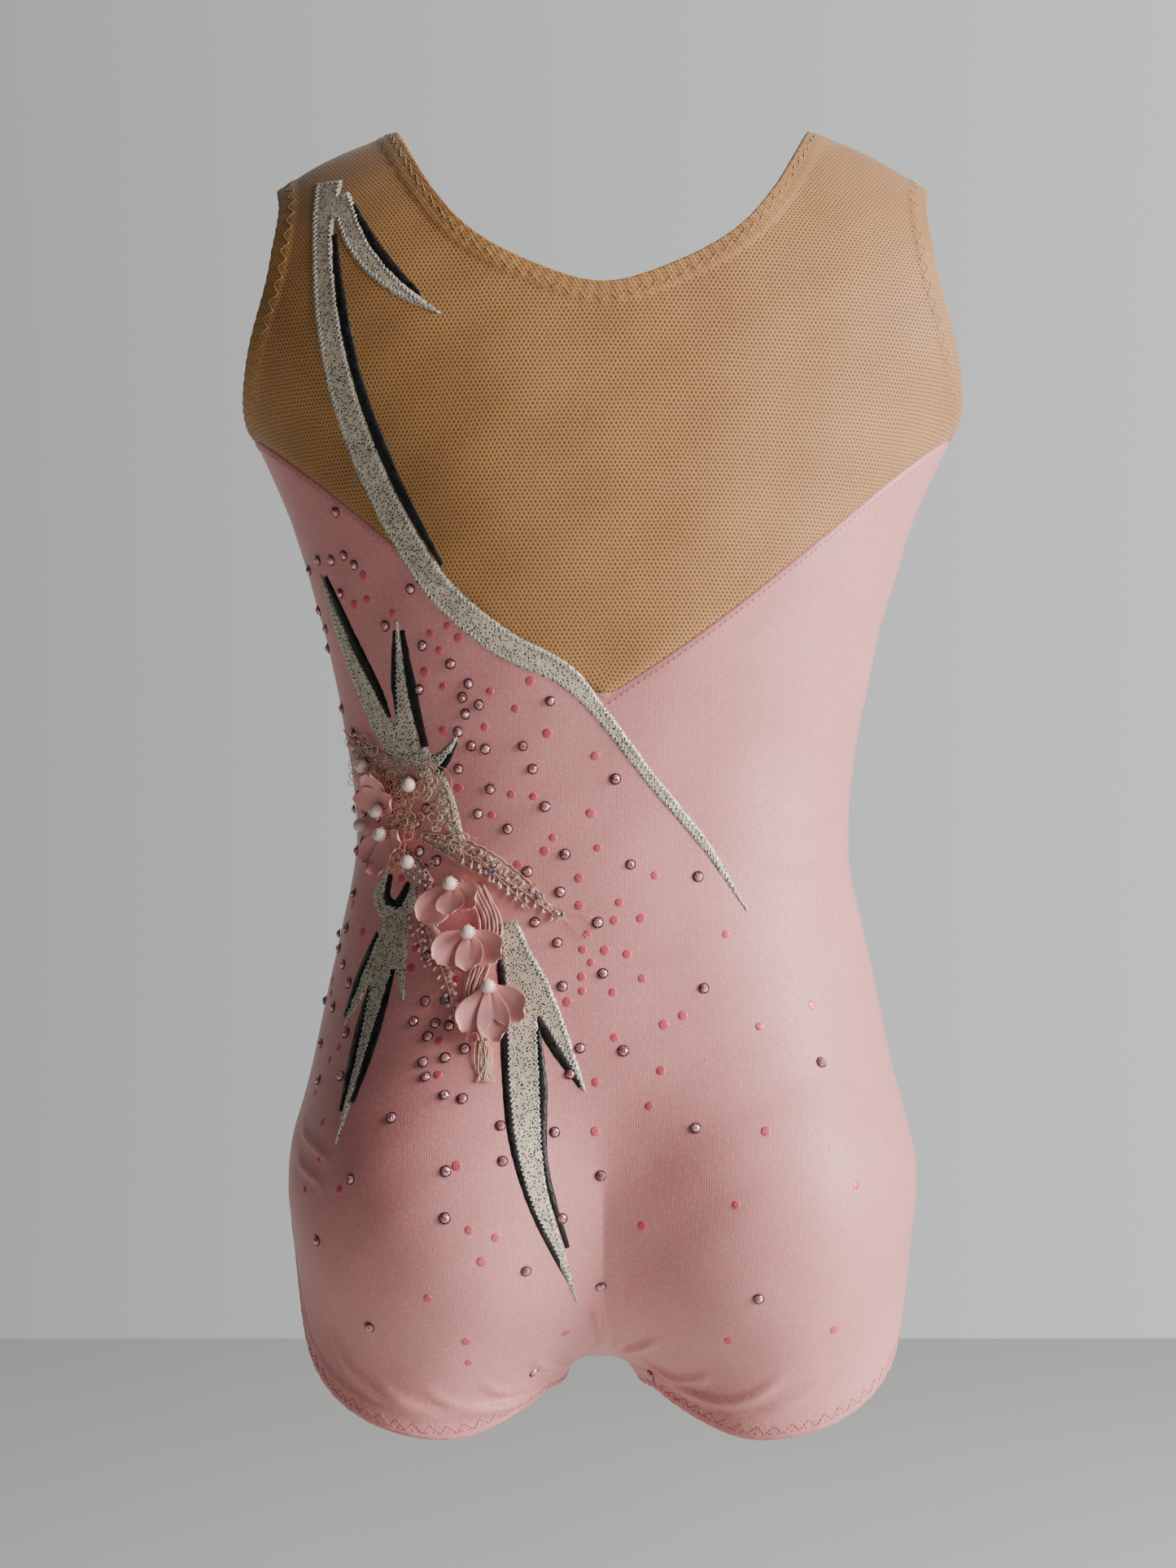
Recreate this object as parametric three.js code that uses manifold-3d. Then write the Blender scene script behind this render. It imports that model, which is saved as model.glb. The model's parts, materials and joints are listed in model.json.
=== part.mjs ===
// Sleeveless gymnastics leotard for a child, worn shape, back side facing -Y.
// Millimetres, +Z up, +X to the wearer's right, origin midway between the shoulder tops.

import * as THREE from 'three';
import { mergeVertices } from 'three/addons/utils/BufferGeometryUtils.js';
import Module from 'manifold-3d';

const wasm = await Module();
wasm.setup();

// ---------------------------------------------------------------- driving sizes

// Body heights, measured down from the shoulder tops.
const WAIST = -302;
const CROTCH = -517;

// Heights of waist and crotch that the trims' points are drawn for, and the cloth between two
// heights that carries the flower spray and moves with the waist as one.
const DRAWN_WAIST = -302;
const DRAWN_CROTCH = -517;
const SPRAY_TOP = -250;
const SPRAY_FOOT = -420;

// Level by level: half width, depth of the back and depth of the front.
const levelsAt = (waist, crotch) => [
  { z: -60, halfWidth: 180, back: 80, front: 74 },
  { z: -100, halfWidth: 165, back: 83, front: 82 },
  { z: -140, halfWidth: 143, back: 82, front: 87 },
  { z: -180, halfWidth: 127, back: 78, front: 88 },
  { z: waist + 62, halfWidth: 111.5, back: 69, front: 84 },
  { z: waist, halfWidth: 104, back: 62, front: 82 },
  { z: waist - 38, halfWidth: 111, back: 67, front: 85 },
  { z: crotch + 97, halfWidth: 127, back: 80, front: 86 },
  { z: crotch + 57, halfWidth: 127, back: 80, front: 77 },
  { z: crotch + 17, halfWidth: 125, back: 74, front: 68 },
];
const LEVELS = levelsAt(WAIST, CROTCH);
const DRAWN_LEVELS = levelsAt(DRAWN_WAIST, DRAWN_CROTCH);
const ARMPIT = -110;
const SHOULDER_RISE = 10;

// Leg tops and seat.
const LEG = { x: 72, y: -4, halfWidth: 55, depth: 63, blendTop: CROTCH + 67, blend: 60 };
const SEAT = { x: 58, y: -34, z: CROTCH + 68, halfWidth: 62, depth: 62, height: 70 };

// Roundness of the torso's section and of its shoulders, its rounded foot between the legs, the
// scale that turns its shares into millimetres, and how widely leg and seat flow into it.
const TORSO = { sideRound: 2.3, topRound: 2.2, footTop: CROTCH + 82, foot: 84, scale: 80 };
const LEG_FLOW = 16;
const SEAT_FLOW = 22;

// Cloth.
const SPANDEX = 0.8;
const MESH = 0.6;
const ELASTIC = 0.8;
const ELASTIC_WIDTH = 8;
const HEM = 0.5;
const HEM_WIDTH = 9;
const LINING = 0.6;
const LINING_ROWS = 4;
const GAP = 0.3;

// Trims.
const FOIL = 0.6;
const LACE = 0.5;
const CHIFFON = 0.5;
const PEARL_RADIUS = 3;
const STONE_RADIUS = 2.2;
const STONE_HEIGHT = 1.7;
const STONE_GIRDLE = STONE_HEIGHT * 0.3;
const STONE_TABLE = STONE_RADIUS * 0.55;
const STONE_SIDES = 8;
const HEART_RADIUS = 2.6;
const HEART_HEIGHT = 1;
const SHANK_TOP = 1.2;
const SHANK_FOOT = 0.4;
const PETAL_LIFT = 5;
const PETAL_CUP = 1.5;
const PETAL_CELLS = 4;
const PETAL_ROOT = 1;
const PETAL_ON_HEART = 0.25;
const BLADE_STEP = 9;
const BACK_REACH = 200;

// Depths of the layers behind the cloth.
const HEM_DEPTH = GAP + ELASTIC + GAP;

// Heights of the trim layers above the body.
const TRIM_BASE = SPANDEX + GAP;
const LACE_BASE = TRIM_BASE + FOIL + GAP;
const HEART_BASE = LACE_BASE + LACE + GAP;
const PETAL_BASE = HEART_BASE + PETAL_ON_HEART;
const PEARL_ON_HEART = HEART_BASE + HEART_HEIGHT + GAP;

// Grid of the pattern pieces.
const SHOULDER_COLUMNS = 2;
const NECK_COLUMNS = 16;
const CROTCH_COLUMNS = 4;
const COLUMNS = 2 * SHOULDER_COLUMNS + NECK_COLUMNS;
const LEG_COLUMNS = (COLUMNS - CROTCH_COLUMNS) / 2;
const YOKE_ROWS = 8;
const BODY_ROWS = 14;
const RELAX_PASSES = 120;
const SKIN_STEPS = 6;

// ---------------------------------------------------------------- body surface

function profile(key, z, levels = LEVELS) {
  const last = levels.length - 1;
  const below = levels.findIndex((level) => z > level.z);
  if (below === 0) return levels[0][key];
  if (below === -1) return levels[last][key];
  const i = below - 1;
  const [a, b, c, d] = [i - 1, i, i + 1, i + 2].map((k) => levels[Math.min(Math.max(k, 0), last)]);
  const span = c.z - b.z;
  const t = (z - b.z) / span;
  const startSlope = ((c[key] - a[key]) / (c.z - a.z)) * span;
  const endSlope = ((d[key] - b[key]) / (d.z - b.z)) * span;
  const bend = 3 * (c[key] - b[key]) - 2 * startSlope - endSlope;
  const twist = startSlope + endSlope - 2 * (c[key] - b[key]);
  return b[key] + t * (startSlope + t * (bend + t * twist));
}

// A point drawn on the back, moved with the waist and crotch and kept at its share of the width.
function placed([x, z]) {
  const shift = WAIST - DRAWN_WAIST;
  let height = z + shift;
  if (z > SPRAY_TOP) height = z + (shift * z) / SPRAY_TOP;
  if (z < SPRAY_FOOT) {
    height = THREE.MathUtils.mapLinear(z, SPRAY_FOOT, DRAWN_CROTCH, SPRAY_FOOT + shift, CROTCH);
  }
  const widening = profile('halfWidth', height) / profile('halfWidth', z, DRAWN_LEVELS);
  return [x * widening, height];
}

function blend(a, b, radius) {
  const h = THREE.MathUtils.clamp(0.5 + (0.5 * (b - a)) / radius, 0, 1);
  return b * (1 - h) + a * h - radius * h * (1 - h);
}

// Zero on the body, negative inside it, close to a distance in millimetres near it.
function skin(p) {
  const x = Math.abs(p.x);
  const depth = p.y < 0 ? profile('back', p.z) : profile('front', p.z);
  const up = Math.max(0, (p.z - ARMPIT) / (SHOULDER_RISE - ARMPIT));
  const down = Math.max(0, (TORSO.footTop - p.z) / TORSO.foot);
  const across = (x / profile('halfWidth', p.z)) ** TORSO.sideRound;
  const section = (p.y / depth) ** 2 + across + up ** TORSO.topRound + down ** 2;
  const torso = (Math.sqrt(section) - 1) * TORSO.scale;
  const legTop = Math.max(0, (p.z - LEG.blendTop) / LEG.blend);
  const leg = (Math.hypot((x - LEG.x) / LEG.halfWidth, (p.y - LEG.y) / LEG.depth, legTop) - 1)
    * LEG.halfWidth;
  const seat = (Math.hypot((x - SEAT.x) / SEAT.halfWidth, (p.y - SEAT.y) / SEAT.depth,
    (p.z - SEAT.z) / SEAT.height) - 1) * SEAT.halfWidth;
  return blend(blend(torso, leg, LEG_FLOW), seat, SEAT_FLOW);
}

// Gradient of the skin at a point, taken over half a millimetre each way.
function outward(p) {
  const step = 0.5;
  const slope = (axis) => {
    const ahead = p.clone();
    const behind = p.clone();
    ahead[axis] += step;
    behind[axis] -= step;
    return (skin(ahead) - skin(behind)) / (2 * step);
  };
  return new THREE.Vector3(slope('x'), slope('y'), slope('z'));
}

function toSkin(p) {
  for (let i = 0; i < SKIN_STEPS; i += 1) {
    const slope = outward(p);
    p.addScaledVector(slope, -skin(p) / slope.lengthSq());
  }
  return p;
}

// ---------------------------------------------------------------- seams and edges

const mirror = (p) => new THREE.Vector3(-p.x, p.y, p.z);

function along(points, count) {
  const curve = new THREE.CatmullRomCurve3(points.map((p) => new THREE.Vector3(...p)));
  return curve.getSpacedPoints(count).map(toSkin);
}

// Right half of a line that crosses the centre without a corner, from the centre out.
function fromCentre(points, count) {
  const leftPoints = points.slice(1).reverse().map(([x, y, z]) => [-x, y, z]);
  return along([...leftPoints, ...points], 2 * count).slice(count);
}

// Right half of a line, then the whole line from left to right.
function bothSides(half) {
  return [...half.slice(1).reverse().map(mirror), ...half];
}

// Every line below starts at the centre or at the top, on the wearer's right.
const NECK_POINT = [87, 0, -5];
const SHOULDER_POINT = [134, 0, -27];
const UNDERARM = [155, 0, -131];
const HIP_POINT = [131, 0, CROTCH + 79];
const CROTCH_EDGE = [19, 0, CROTCH - 12];

const shoulderSeam = along([NECK_POINT, [110, 0, -12], SHOULDER_POINT], SHOULDER_COLUMNS);
const sideSeam = along([UNDERARM, [138, 0, -158], [112, 0, WAIST + 62], [104, 0, WAIST],
  [120, 0, CROTCH + 129], HIP_POINT], BODY_ROWS);
const crotchSeam = along([[0, 0, CROTCH], [12, 0, CROTCH - 5], CROTCH_EDGE], CROTCH_COLUMNS / 2);

const BACK = {
  neck: fromCentre([[0, -80, -80], [32, -76, -70], [53, -68, -57], [66, -55, -43],
    [76, -36, -27], NECK_POINT], NECK_COLUMNS / 2),
  armhole: along([SHOULDER_POINT, [134, -40, -42], [138, -52, -72], [146, -40, -104],
    [153, -18, -124], UNDERARM], YOKE_ROWS),
  yokeSeam: along([[0, -72, -244], [36, -70, -219], [85, -62, -181], [120, -45, -153],
    [142, -24, -137], UNDERARM], COLUMNS / 2),
  legEdge: along([CROTCH_EDGE, [18, -34, CROTCH - 11], [24, -50, CROTCH - 14],
    [38, -62, CROTCH - 18], [62, -66, CROTCH - 21], [86, -60, CROTCH - 17],
    [109, -48, CROTCH - 6], [121, -35, CROTCH + 6], [129, -20, CROTCH + 29],
    HIP_POINT], LEG_COLUMNS),
};
const FRONT = {
  neck: fromCentre([[0, 74, -74], [32, 72, -66], [56, 62, -50], [74, 36, -24], NECK_POINT],
    NECK_COLUMNS / 2),
  armhole: along([SHOULDER_POINT, [128, 38, -44], [126, 56, -74], [138, 50, -108],
    [150, 22, -126], UNDERARM], YOKE_ROWS),
  yokeSeam: along([[0, 88, -196], [50, 84, -176], [100, 66, -152], [138, 30, -136], UNDERARM],
    COLUMNS / 2),
  legEdge: along([CROTCH_EDGE, [21, 30, CROTCH + 1], [36, 58, CROTCH + 17],
    [62, 72, CROTCH + 37], [92, 66, CROTCH + 57], [118, 42, CROTCH + 72], HIP_POINT],
    LEG_COLUMNS),
};

// ---------------------------------------------------------------- pattern pieces

// Fills four edges with a net of points that lies on the body and spans its hollows.
function net(top, bottom, left, right) {
  const columns = top.length - 1;
  const rows = left.length - 1;
  const points = left.map((_, r) => top.map((__, c) => {
    if (r === 0) return top[c].clone();
    if (r === rows) return bottom[c].clone();
    if (c === 0) return left[r].clone();
    if (c === columns) return right[r].clone();
    const u = c / columns;
    const v = r / rows;
    const point = new THREE.Vector3();
    point.addScaledVector(top[c], 1 - v).addScaledVector(bottom[c], v);
    point.addScaledVector(left[r], 1 - u).addScaledVector(right[r], u);
    point.addScaledVector(top[0], -(1 - u) * (1 - v)).addScaledVector(top[columns], -u * (1 - v));
    point.addScaledVector(bottom[0], -(1 - u) * v).addScaledVector(bottom[columns], -u * v);
    return toSkin(point);
  }));
  for (let pass = 0; pass < RELAX_PASSES; pass += 1) {
    for (let r = 1; r < rows; r += 1) {
      for (let c = 1; c < columns; c += 1) {
        const point = new THREE.Vector3();
        point.add(points[r - 1][c]).add(points[r + 1][c]).add(points[r][c - 1])
          .add(points[r][c + 1]).multiplyScalar(0.25);
        if (skin(point) < 0) toSkin(point);
        points[r][c] = point;
      }
    }
  }
  return points;
}

function patternNet(side) {
  const shoulders = shoulderSeam.slice(1);
  const neckHalf = side.neck;
  const topRight = [...neckHalf, ...shoulders];
  const bottomRight = [...crotchSeam, ...side.legEdge.slice(1)];
  const yoke = net(bothSides(topRight), bothSides(side.yokeSeam), side.armhole.map(mirror),
    side.armhole);
  const body = net(bothSides(side.yokeSeam), bothSides(bottomRight), sideSeam.map(mirror),
    sideSeam);
  return { yoke, body };
}

const backNet = patternNet(BACK);
const frontNet = patternNet(FRONT);

// Draws the chosen edges of a net back by half a seam gap, so neighbouring pieces stay clear.
function drawnBack(points, edges) {
  const rows = points.length - 1;
  const columns = points[0].length - 1;
  const result = points.map((row) => row.map((p) => p.clone()));
  const pull = (r, c, towardR, towardC) => {
    const inward = points[towardR][towardC].clone().sub(points[r][c]).setLength(GAP / 2);
    result[r][c].add(inward);
  };
  for (let c = 0; c <= columns; c += 1) {
    if (edges.top) pull(0, c, 1, c);
    if (edges.bottom) pull(rows, c, rows - 1, c);
  }
  for (let r = 0; r <= rows; r += 1) {
    if (edges.sides) {
      pull(r, 0, r, 1);
      pull(r, columns, r, columns - 1);
    }
  }
  return result;
}

const surfaceNormal = (p) => outward(p).normalize();

function indexed(positions, triangles) {
  const geometry = new THREE.BufferGeometry();
  geometry.setAttribute('position', new THREE.Float32BufferAttribute(positions, 3));
  geometry.setIndex(triangles);
  return geometry;
}

// Geometry with its faces pointing out, whichever way its loop ran.
function turnedOut(positions, triangles) {
  const corner = (i) => new THREE.Vector3().fromArray(positions, 3 * i);
  let volume = 0;
  for (let i = 0; i < triangles.length; i += 3) {
    const [a, b, c] = triangles.slice(i, i + 3).map(corner);
    volume += a.dot(b.cross(c));
  }
  return indexed(positions, volume < 0 ? triangles.reverse() : triangles);
}

// How much further out the first diagonal of a four-cornered cell lies than the second.
function bulge(a, b, c, d, direction) {
  return a.clone().add(c).sub(b).sub(d).dot(direction(a));
}

// Closed sheet between two offsets of a net of points; each cell folds along its outer diagonal.
function sheet(points, low, high, direction = surfaceNormal) {
  const rows = points.length;
  const columns = points[0].length;
  const positions = [];
  [low, high].forEach((offset) => points.flat().forEach((p) => {
    const lifted = p.clone().addScaledVector(direction(p), offset);
    positions.push(lifted.x, lifted.y, lifted.z);
  }));
  const layer = rows * columns;
  const at = (r, c, top) => r * columns + c + (top ? layer : 0);
  const triangles = [];
  const quad = (p, q, u, v) => triangles.push(p, q, u, p, u, v);
  const cell = (p, q, u, v, folded) => (folded ? quad(p, q, u, v) : quad(q, u, v, p));
  for (let r = 0; r < rows - 1; r += 1) {
    for (let c = 0; c < columns - 1; c += 1) {
      const folded = bulge(points[r][c], points[r + 1][c], points[r + 1][c + 1],
        points[r][c + 1], direction) > 0;
      cell(at(r, c, true), at(r + 1, c, true), at(r + 1, c + 1, true), at(r, c + 1, true), folded);
      cell(at(r, c), at(r, c + 1), at(r + 1, c + 1), at(r + 1, c), folded);
    }
  }
  const rim = [];
  for (let c = 0; c < columns; c += 1) rim.push([0, c]);
  for (let r = 1; r < rows; r += 1) rim.push([r, columns - 1]);
  for (let c = columns - 2; c >= 0; c -= 1) rim.push([rows - 1, c]);
  for (let r = rows - 2; r > 0; r -= 1) rim.push([r, 0]);
  rim.forEach(([r, c], i) => {
    const [nextR, nextC] = rim[(i + 1) % rim.length];
    quad(at(r, c), at(r, c, true), at(nextR, nextC, true), at(nextR, nextC));
  });
  return turnedOut(positions, triangles);
}

// Bands that follow an opening on the inside, each step a point on the edge and one further in.
function neckSteps({ yoke }) {
  const first = SHOULDER_COLUMNS;
  const last = COLUMNS - SHOULDER_COLUMNS;
  const steps = [];
  for (let c = first; c <= last; c += 1) {
    const towards = { [first]: yoke[0][first - 1], [last]: yoke[0][last + 1] }[c] ?? yoke[1][c];
    steps.push({ edge: yoke[0][c], towards });
  }
  return steps;
}

function armSteps({ yoke, body }, column, step) {
  return yoke.map((row, r) => {
    const towards = r === YOKE_ROWS ? body[1][column] : row[column + step];
    return { edge: row[column], towards };
  });
}

function legSteps({ body }, outer, step) {
  const steps = [];
  for (let i = 0; i <= LEG_COLUMNS; i += 1) {
    const c = outer + step * i;
    const towards = i === LEG_COLUMNS ? body[BODY_ROWS][c + step] : body[BODY_ROWS - 1][c];
    steps.push({ edge: body[BODY_ROWS][c], towards });
  }
  return steps;
}

// Both halves share their end points, so the loop takes each of those once.
function loop(stepsOf) {
  return [...stepsOf(backNet), ...stepsOf(frontNet).reverse().slice(1, -1)];
}

const OPENINGS = {
  neck: loop(neckSteps),
  left_arm: loop((half) => armSteps(half, 0, 1)),
  right_arm: loop((half) => armSteps(half, COLUMNS, -1)),
  left_leg: loop((half) => legSteps(half, 0, 1)),
  right_leg: loop((half) => legSteps(half, COLUMNS, -1)),
};

// Closed ring of cloth behind an opening's edge, `width` wide, between two depths behind it.
// Each cell folds along its inner diagonal, clear of the cloth in front of it.
function band(steps, width, near, far) {
  const positions = [];
  steps.forEach(({ edge, towards }) => {
    const inward = towards.clone().sub(edge).setLength(width);
    const outer = [edge, edge.clone().add(inward)];
    const normal = outward(edge).normalize();
    outer.forEach((p) => [near, far].forEach((depth) => {
      const corner = p.clone().addScaledVector(normal, -depth);
      positions.push(corner.x, corner.y, corner.z);
    }));
  });
  const triangles = [];
  const quad = (p, q, u, v) => triangles.push(p, q, u, p, u, v);
  const point = (i) => new THREE.Vector3().fromArray(positions, 3 * i);
  steps.forEach((_, i) => {
    const here = i * 4;
    const next = ((i + 1) % steps.length) * 4;
    const cell = [here, here + 2, next + 2, next];
    const folded = bulge(...cell.map(point), surfaceNormal) < 0;
    const [p, q, u, v] = folded ? cell : [...cell.slice(1), cell[0]];
    quad(p, q, u, v);
    quad(p + 1, v + 1, u + 1, q + 1);
    quad(here, next, next + 1, here + 1);
    quad(here + 2, here + 3, next + 3, next + 2);
  });
  return turnedOut(positions, triangles);
}

// ---------------------------------------------------------------- trims cut from flat cloth

function solid(geometry) {
  const plain = geometry.clone();
  plain.deleteAttribute('normal');
  plain.deleteAttribute('uv');
  const { attributes, index } = mergeVertices(plain, 1e-4);
  return new wasm.Manifold(new wasm.Mesh({
    numProp: 3,
    vertProperties: new Float32Array(attributes.position.array),
    triVerts: new Uint32Array(index.array),
  }));
}

function geometryOf(manifold) {
  const { vertProperties, triVerts } = manifold.getMesh();
  return indexed(vertProperties, Array.from(triVerts));
}

// Outline of a blade along a line of [x, z, width] points, grown by `margin` on every side.
function blade(spine, margin = 0) {
  const line = new THREE.SplineCurve(spine.map((at) => new THREE.Vector2(...placed(at))));
  const steps = Math.ceil(line.getLength() / BLADE_STEP) + 2;
  const left = [];
  const right = [];
  for (let i = 0; i <= steps; i += 1) {
    const t = i / steps;
    const k = t * (spine.length - 1);
    const from = Math.min(Math.floor(k), spine.length - 2);
    const width = THREE.MathUtils.lerp(spine[from][2], spine[from + 1][2], k - from);
    const reach = i === 0 ? -margin : (i === steps ? margin : 0);
    const tangent = line.getTangent(t);
    const centre = line.getPoint(t).addScaledVector(tangent, reach);
    const side = new THREE.Vector2(-tangent.y, tangent.x).multiplyScalar(width / 2 + margin);
    left.push(centre.clone().add(side));
    right.push(centre.clone().sub(side));
  }
  return new THREE.Shape([...left, ...right.reverse()]);
}

const wholeBack = [...backNet.yoke, ...backNet.body.slice(1)];
const foilLayer = solid(sheet(wholeBack, TRIM_BASE, TRIM_BASE + FOIL));
const laceLayer = solid(sheet(wholeBack, LACE_BASE, LACE_BASE + LACE));

function prism(spine, margin) {
  const geometry = new THREE.ExtrudeGeometry(blade(spine, margin), {
    depth: BACK_REACH,
    bevelEnabled: false,
  });
  return solid(geometry.rotateX(Math.PI / 2));
}

function cutOut(layer, spines, recesses = []) {
  const whole = spines.map((spine) => prism(spine)).reduce((sum, piece) => sum.add(piece));
  const cut = recesses.map((spine) => prism(spine, GAP))
    .reduce((rest, piece) => rest.subtract(piece), whole);
  return geometryOf(layer.intersect(cut));
}

const RIBBON = [[-112, -30, 12], [-113, -54, 9], [-110, -90, 10], [-103, -124, 11],
  [-90, -158, 11], [-76, -184, 11], [-64, -201, 11], [-40, -221, 11], [-15, -234, 9],
  [-1, -249, 6], [19, -275, 5], [42, -303, 4], [58, -328, 0.6]];
const RIBBON_FORK = [[-107, -38, 9], [-97, -63, 9], [-81, -81, 6], [-64, -92, 0.6]];

const WAIST_STAR = [
  [[-117, -190, 0.6], [-108, -215, 5], [-98, -237, 8], [-87, -258, 10], [-77, -268, 8]],
  [[-83, -211, 0.6], [-82, -235, 5], [-79, -264, 10]],
  [[-58, -257, 0.6], [-66, -267, 5], [-76, -270, 8]],
  [[-76, -264, 10], [-66, -278, 8], [-60, -294, 6], [-54, -308, 0.6]],
];
const HIP_STAR = [
  [[-83, -327, 9], [-89, -350, 9], [-97, -384, 5], [-106, -420, 0.6]],
  [[-86, -334, 8], [-97, -357, 5], [-106, -376, 0.6]],
  [[-82, -332, 7], [-82, -350, 5], [-80, -364, 0.6]],
  [[-85, -334, 6], [-92, -324, 5], [-87, -310, 0.6]],
  [[-83, -332, 6], [-78, -324, 5], [-75, -313, 0.6]],
];
const HIP_BLADE = [
  [[-38, -332, 8], [-33, -352, 13], [-32, -375, 13], [-31, -397, 13], [-29, -418, 11],
    [-25, -438, 8], [-17, -460, 4], [-10, -482, 0.6]],
  [[-35, -342, 10], [-25, -360, 10], [-18, -374, 7], [-12, -387, 4], [-7, -398, 0.6]],
];

const BLACK = {
  ribbon_black_edge: [[-108, -56, 1], [-105, -81, 3], [-97, -118, 3], [-83, -155, 3],
    [-71, -178, 2], [-64, -190, 0.6]],
  fork_black_edge: [[-101, -43, 1], [-93, -59, 3], [-84, -72, 3], [-72, -84, 0.6]],
  waist_black_long: [[-115, -191, 0.8], [-102, -219, 3], [-92, -239, 3], [-87, -250, 1]],
  waist_black_left: [[-84, -215, 0.8], [-84.5, -236, 2], [-83, -250, 1]],
  waist_black_right: [[-81, -215, 0.8], [-77, -240, 3], [-72, -262, 2]],
  waist_black_short: [[-59, -260, 0.8], [-65, -270, 2], [-72, -275, 1]],
  hip_black_cup: [[-87, -314, 0.8], [-88, -324, 2], [-84, -327, 4], [-79, -317, 0.8]],
  hip_black_outer: [[-92, -338, 1], [-99, -354, 2], [-106, -373, 0.8]],
  hip_black_left: [[-93, -354, 1], [-99, -378, 3], [-105, -408, 0.8]],
  hip_black_right: [[-85, -352, 1], [-92, -378, 3], [-100, -404, 0.8]],
  blade_black_edge: [[-42, -342, 1], [-39, -364, 3], [-38, -388, 3], [-35, -415, 3],
    [-27, -442, 2], [-14, -471, 0.6]],
  blade_black_notch: [[-28, -365, 1], [-21, -378, 3], [-9, -396, 0.6]],
  blade_black_inner: [[-26, -373, 1], [-24, -395, 3], [-23, -424, 2], [-14, -458, 0.6]],
};
const LACE_LEAVES = {
  waist_lace_upper: [[-106, -257, 1], [-97, -266, 8], [-80, -272, 6]],
  waist_lace_middle: [[-72, -268, 2], [-67, -280, 8], [-61, -292, 3]],
  waist_lace_lower: [[-84, -303, 2], [-77, -311, 8], [-69, -317, 2]],
  beaded_lace_band: [[-73, -298, 3], [-54, -305, 9], [-34, -317, 7], [-18, -330, 0.6]],
};
const EMBROIDERY = {
  embroidered_stem: [[-45, -326, 2], [-46, -343, 3], [-49, -358, 2.5], [-48, -374, 3],
    [-47, -389, 5]],
  beaded_sprig: [[-73, -330, 1], [-66, -340, 5], [-60, -362, 2]],
};

// ---------------------------------------------------------------- trims sewn on the surface

// Place on the back at the given x and z, with its outward direction.
function placeOnCloth(x, z) {
  const at = new THREE.Vector3();
  const facing = new THREE.Vector3();
  const ray = new THREE.Ray(new THREE.Vector3(x, -BACK_REACH, z), new THREE.Vector3(0, 1, 0));
  const cell = (r, c) => [wholeBack[r][c], wholeBack[r + 1][c], wholeBack[r + 1][c + 1],
    wholeBack[r][c + 1]];
  for (let r = 0; r < wholeBack.length - 1; r += 1) {
    for (let c = 0; c < COLUMNS; c += 1) {
      const [p, q, s, t] = cell(r, c);
      const facets = bulge(p, q, s, t, surfaceNormal) > 0 ? [[p, q, s], [p, s, t]]
        : [[q, s, t], [q, t, p]];
      const facet = facets.find((corners) => ray.intersectTriangle(...corners, false, at));
      if (facet) return { point: at, normal: new THREE.Triangle(...facet).getNormal(facing) };
    }
  }
  throw new Error(`no cloth at ${x}, ${z}`);
}

// Group that stands on the cloth: z along the outward direction, x towards `heading` on the back.
function standingAt(at, heading = [0, -1]) {
  const { point, normal } = placeOnCloth(...placed(at));
  const side = normal.clone().cross(new THREE.Vector3(heading[0], 0, heading[1])).normalize();
  const forward = side.clone().cross(normal);
  const group = new THREE.Group();
  group.position.copy(point);
  group.quaternion.setFromRotationMatrix(new THREE.Matrix4().makeBasis(forward, side, normal));
  leotard.add(group);
  return group;
}

function pearl(base) {
  return new THREE.IcosahedronGeometry(PEARL_RADIUS, 1).translate(0, 0, base + PEARL_RADIUS);
}

function rhinestone() {
  const halfSection = [[0, 0], [STONE_RADIUS, 0], [STONE_RADIUS, STONE_GIRDLE],
    [STONE_TABLE, STONE_HEIGHT], [0, STONE_HEIGHT]];
  const points = halfSection.map(([radius, height]) => new THREE.Vector2(radius, height));
  return new THREE.LatheGeometry(points, STONE_SIDES).rotateX(Math.PI / 2)
    .translate(0, 0, TRIM_BASE);
}

// Share of a petal's full width at the share v of its length: narrow root, broad round end.
function petalBreadth(v) {
  return Math.sin(Math.PI * (0.1 + 0.76 * v)) ** 0.8;
}

// One cupped petal that leaves the heart at `angle` from the flower's heading.
function petal({ angle, length, width }) {
  const points = [];
  for (let i = 0; i <= PETAL_CELLS; i += 1) {
    const v = i / PETAL_CELLS;
    const half = (width / 2) * petalBreadth(v);
    const row = [];
    for (let j = 0; j <= PETAL_CELLS; j += 1) {
      const u = (2 * j) / PETAL_CELLS - 1;
      const height = PETAL_BASE + PETAL_LIFT * v ** 1.5 + PETAL_CUP * u * u * v;
      row.push(new THREE.Vector3(THREE.MathUtils.lerp(PETAL_ROOT, length, v), u * half, height));
    }
    points.push(row);
  }
  const upward = new THREE.Vector3(0, 0, 1);
  return sheet(points, 0, CHIFFON, () => upward).rotateZ(angle * THREE.MathUtils.DEG2RAD);
}

// Petals, the gathered heart that joins them, and the thread shank that ties them to the cloth.
function flower(petals) {
  const heart = new THREE.CylinderGeometry(HEART_RADIUS, HEART_RADIUS, HEART_HEIGHT, 10);
  heart.rotateX(Math.PI / 2).translate(0, 0, HEART_BASE + HEART_HEIGHT / 2);
  const length = HEART_BASE + HEART_HEIGHT / 2 - TRIM_BASE;
  const shank = new THREE.CylinderGeometry(SHANK_TOP, SHANK_FOOT, length, 8);
  shank.rotateX(Math.PI / 2).translate(0, 0, TRIM_BASE + length / 2);
  return geometryOf(petals.map((shape) => solid(petal(shape)))
    .reduce((sum, piece) => sum.add(piece), solid(heart).add(solid(shank))));
}

// ---------------------------------------------------------------- assembly

const leotard = new THREE.Group();

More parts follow.
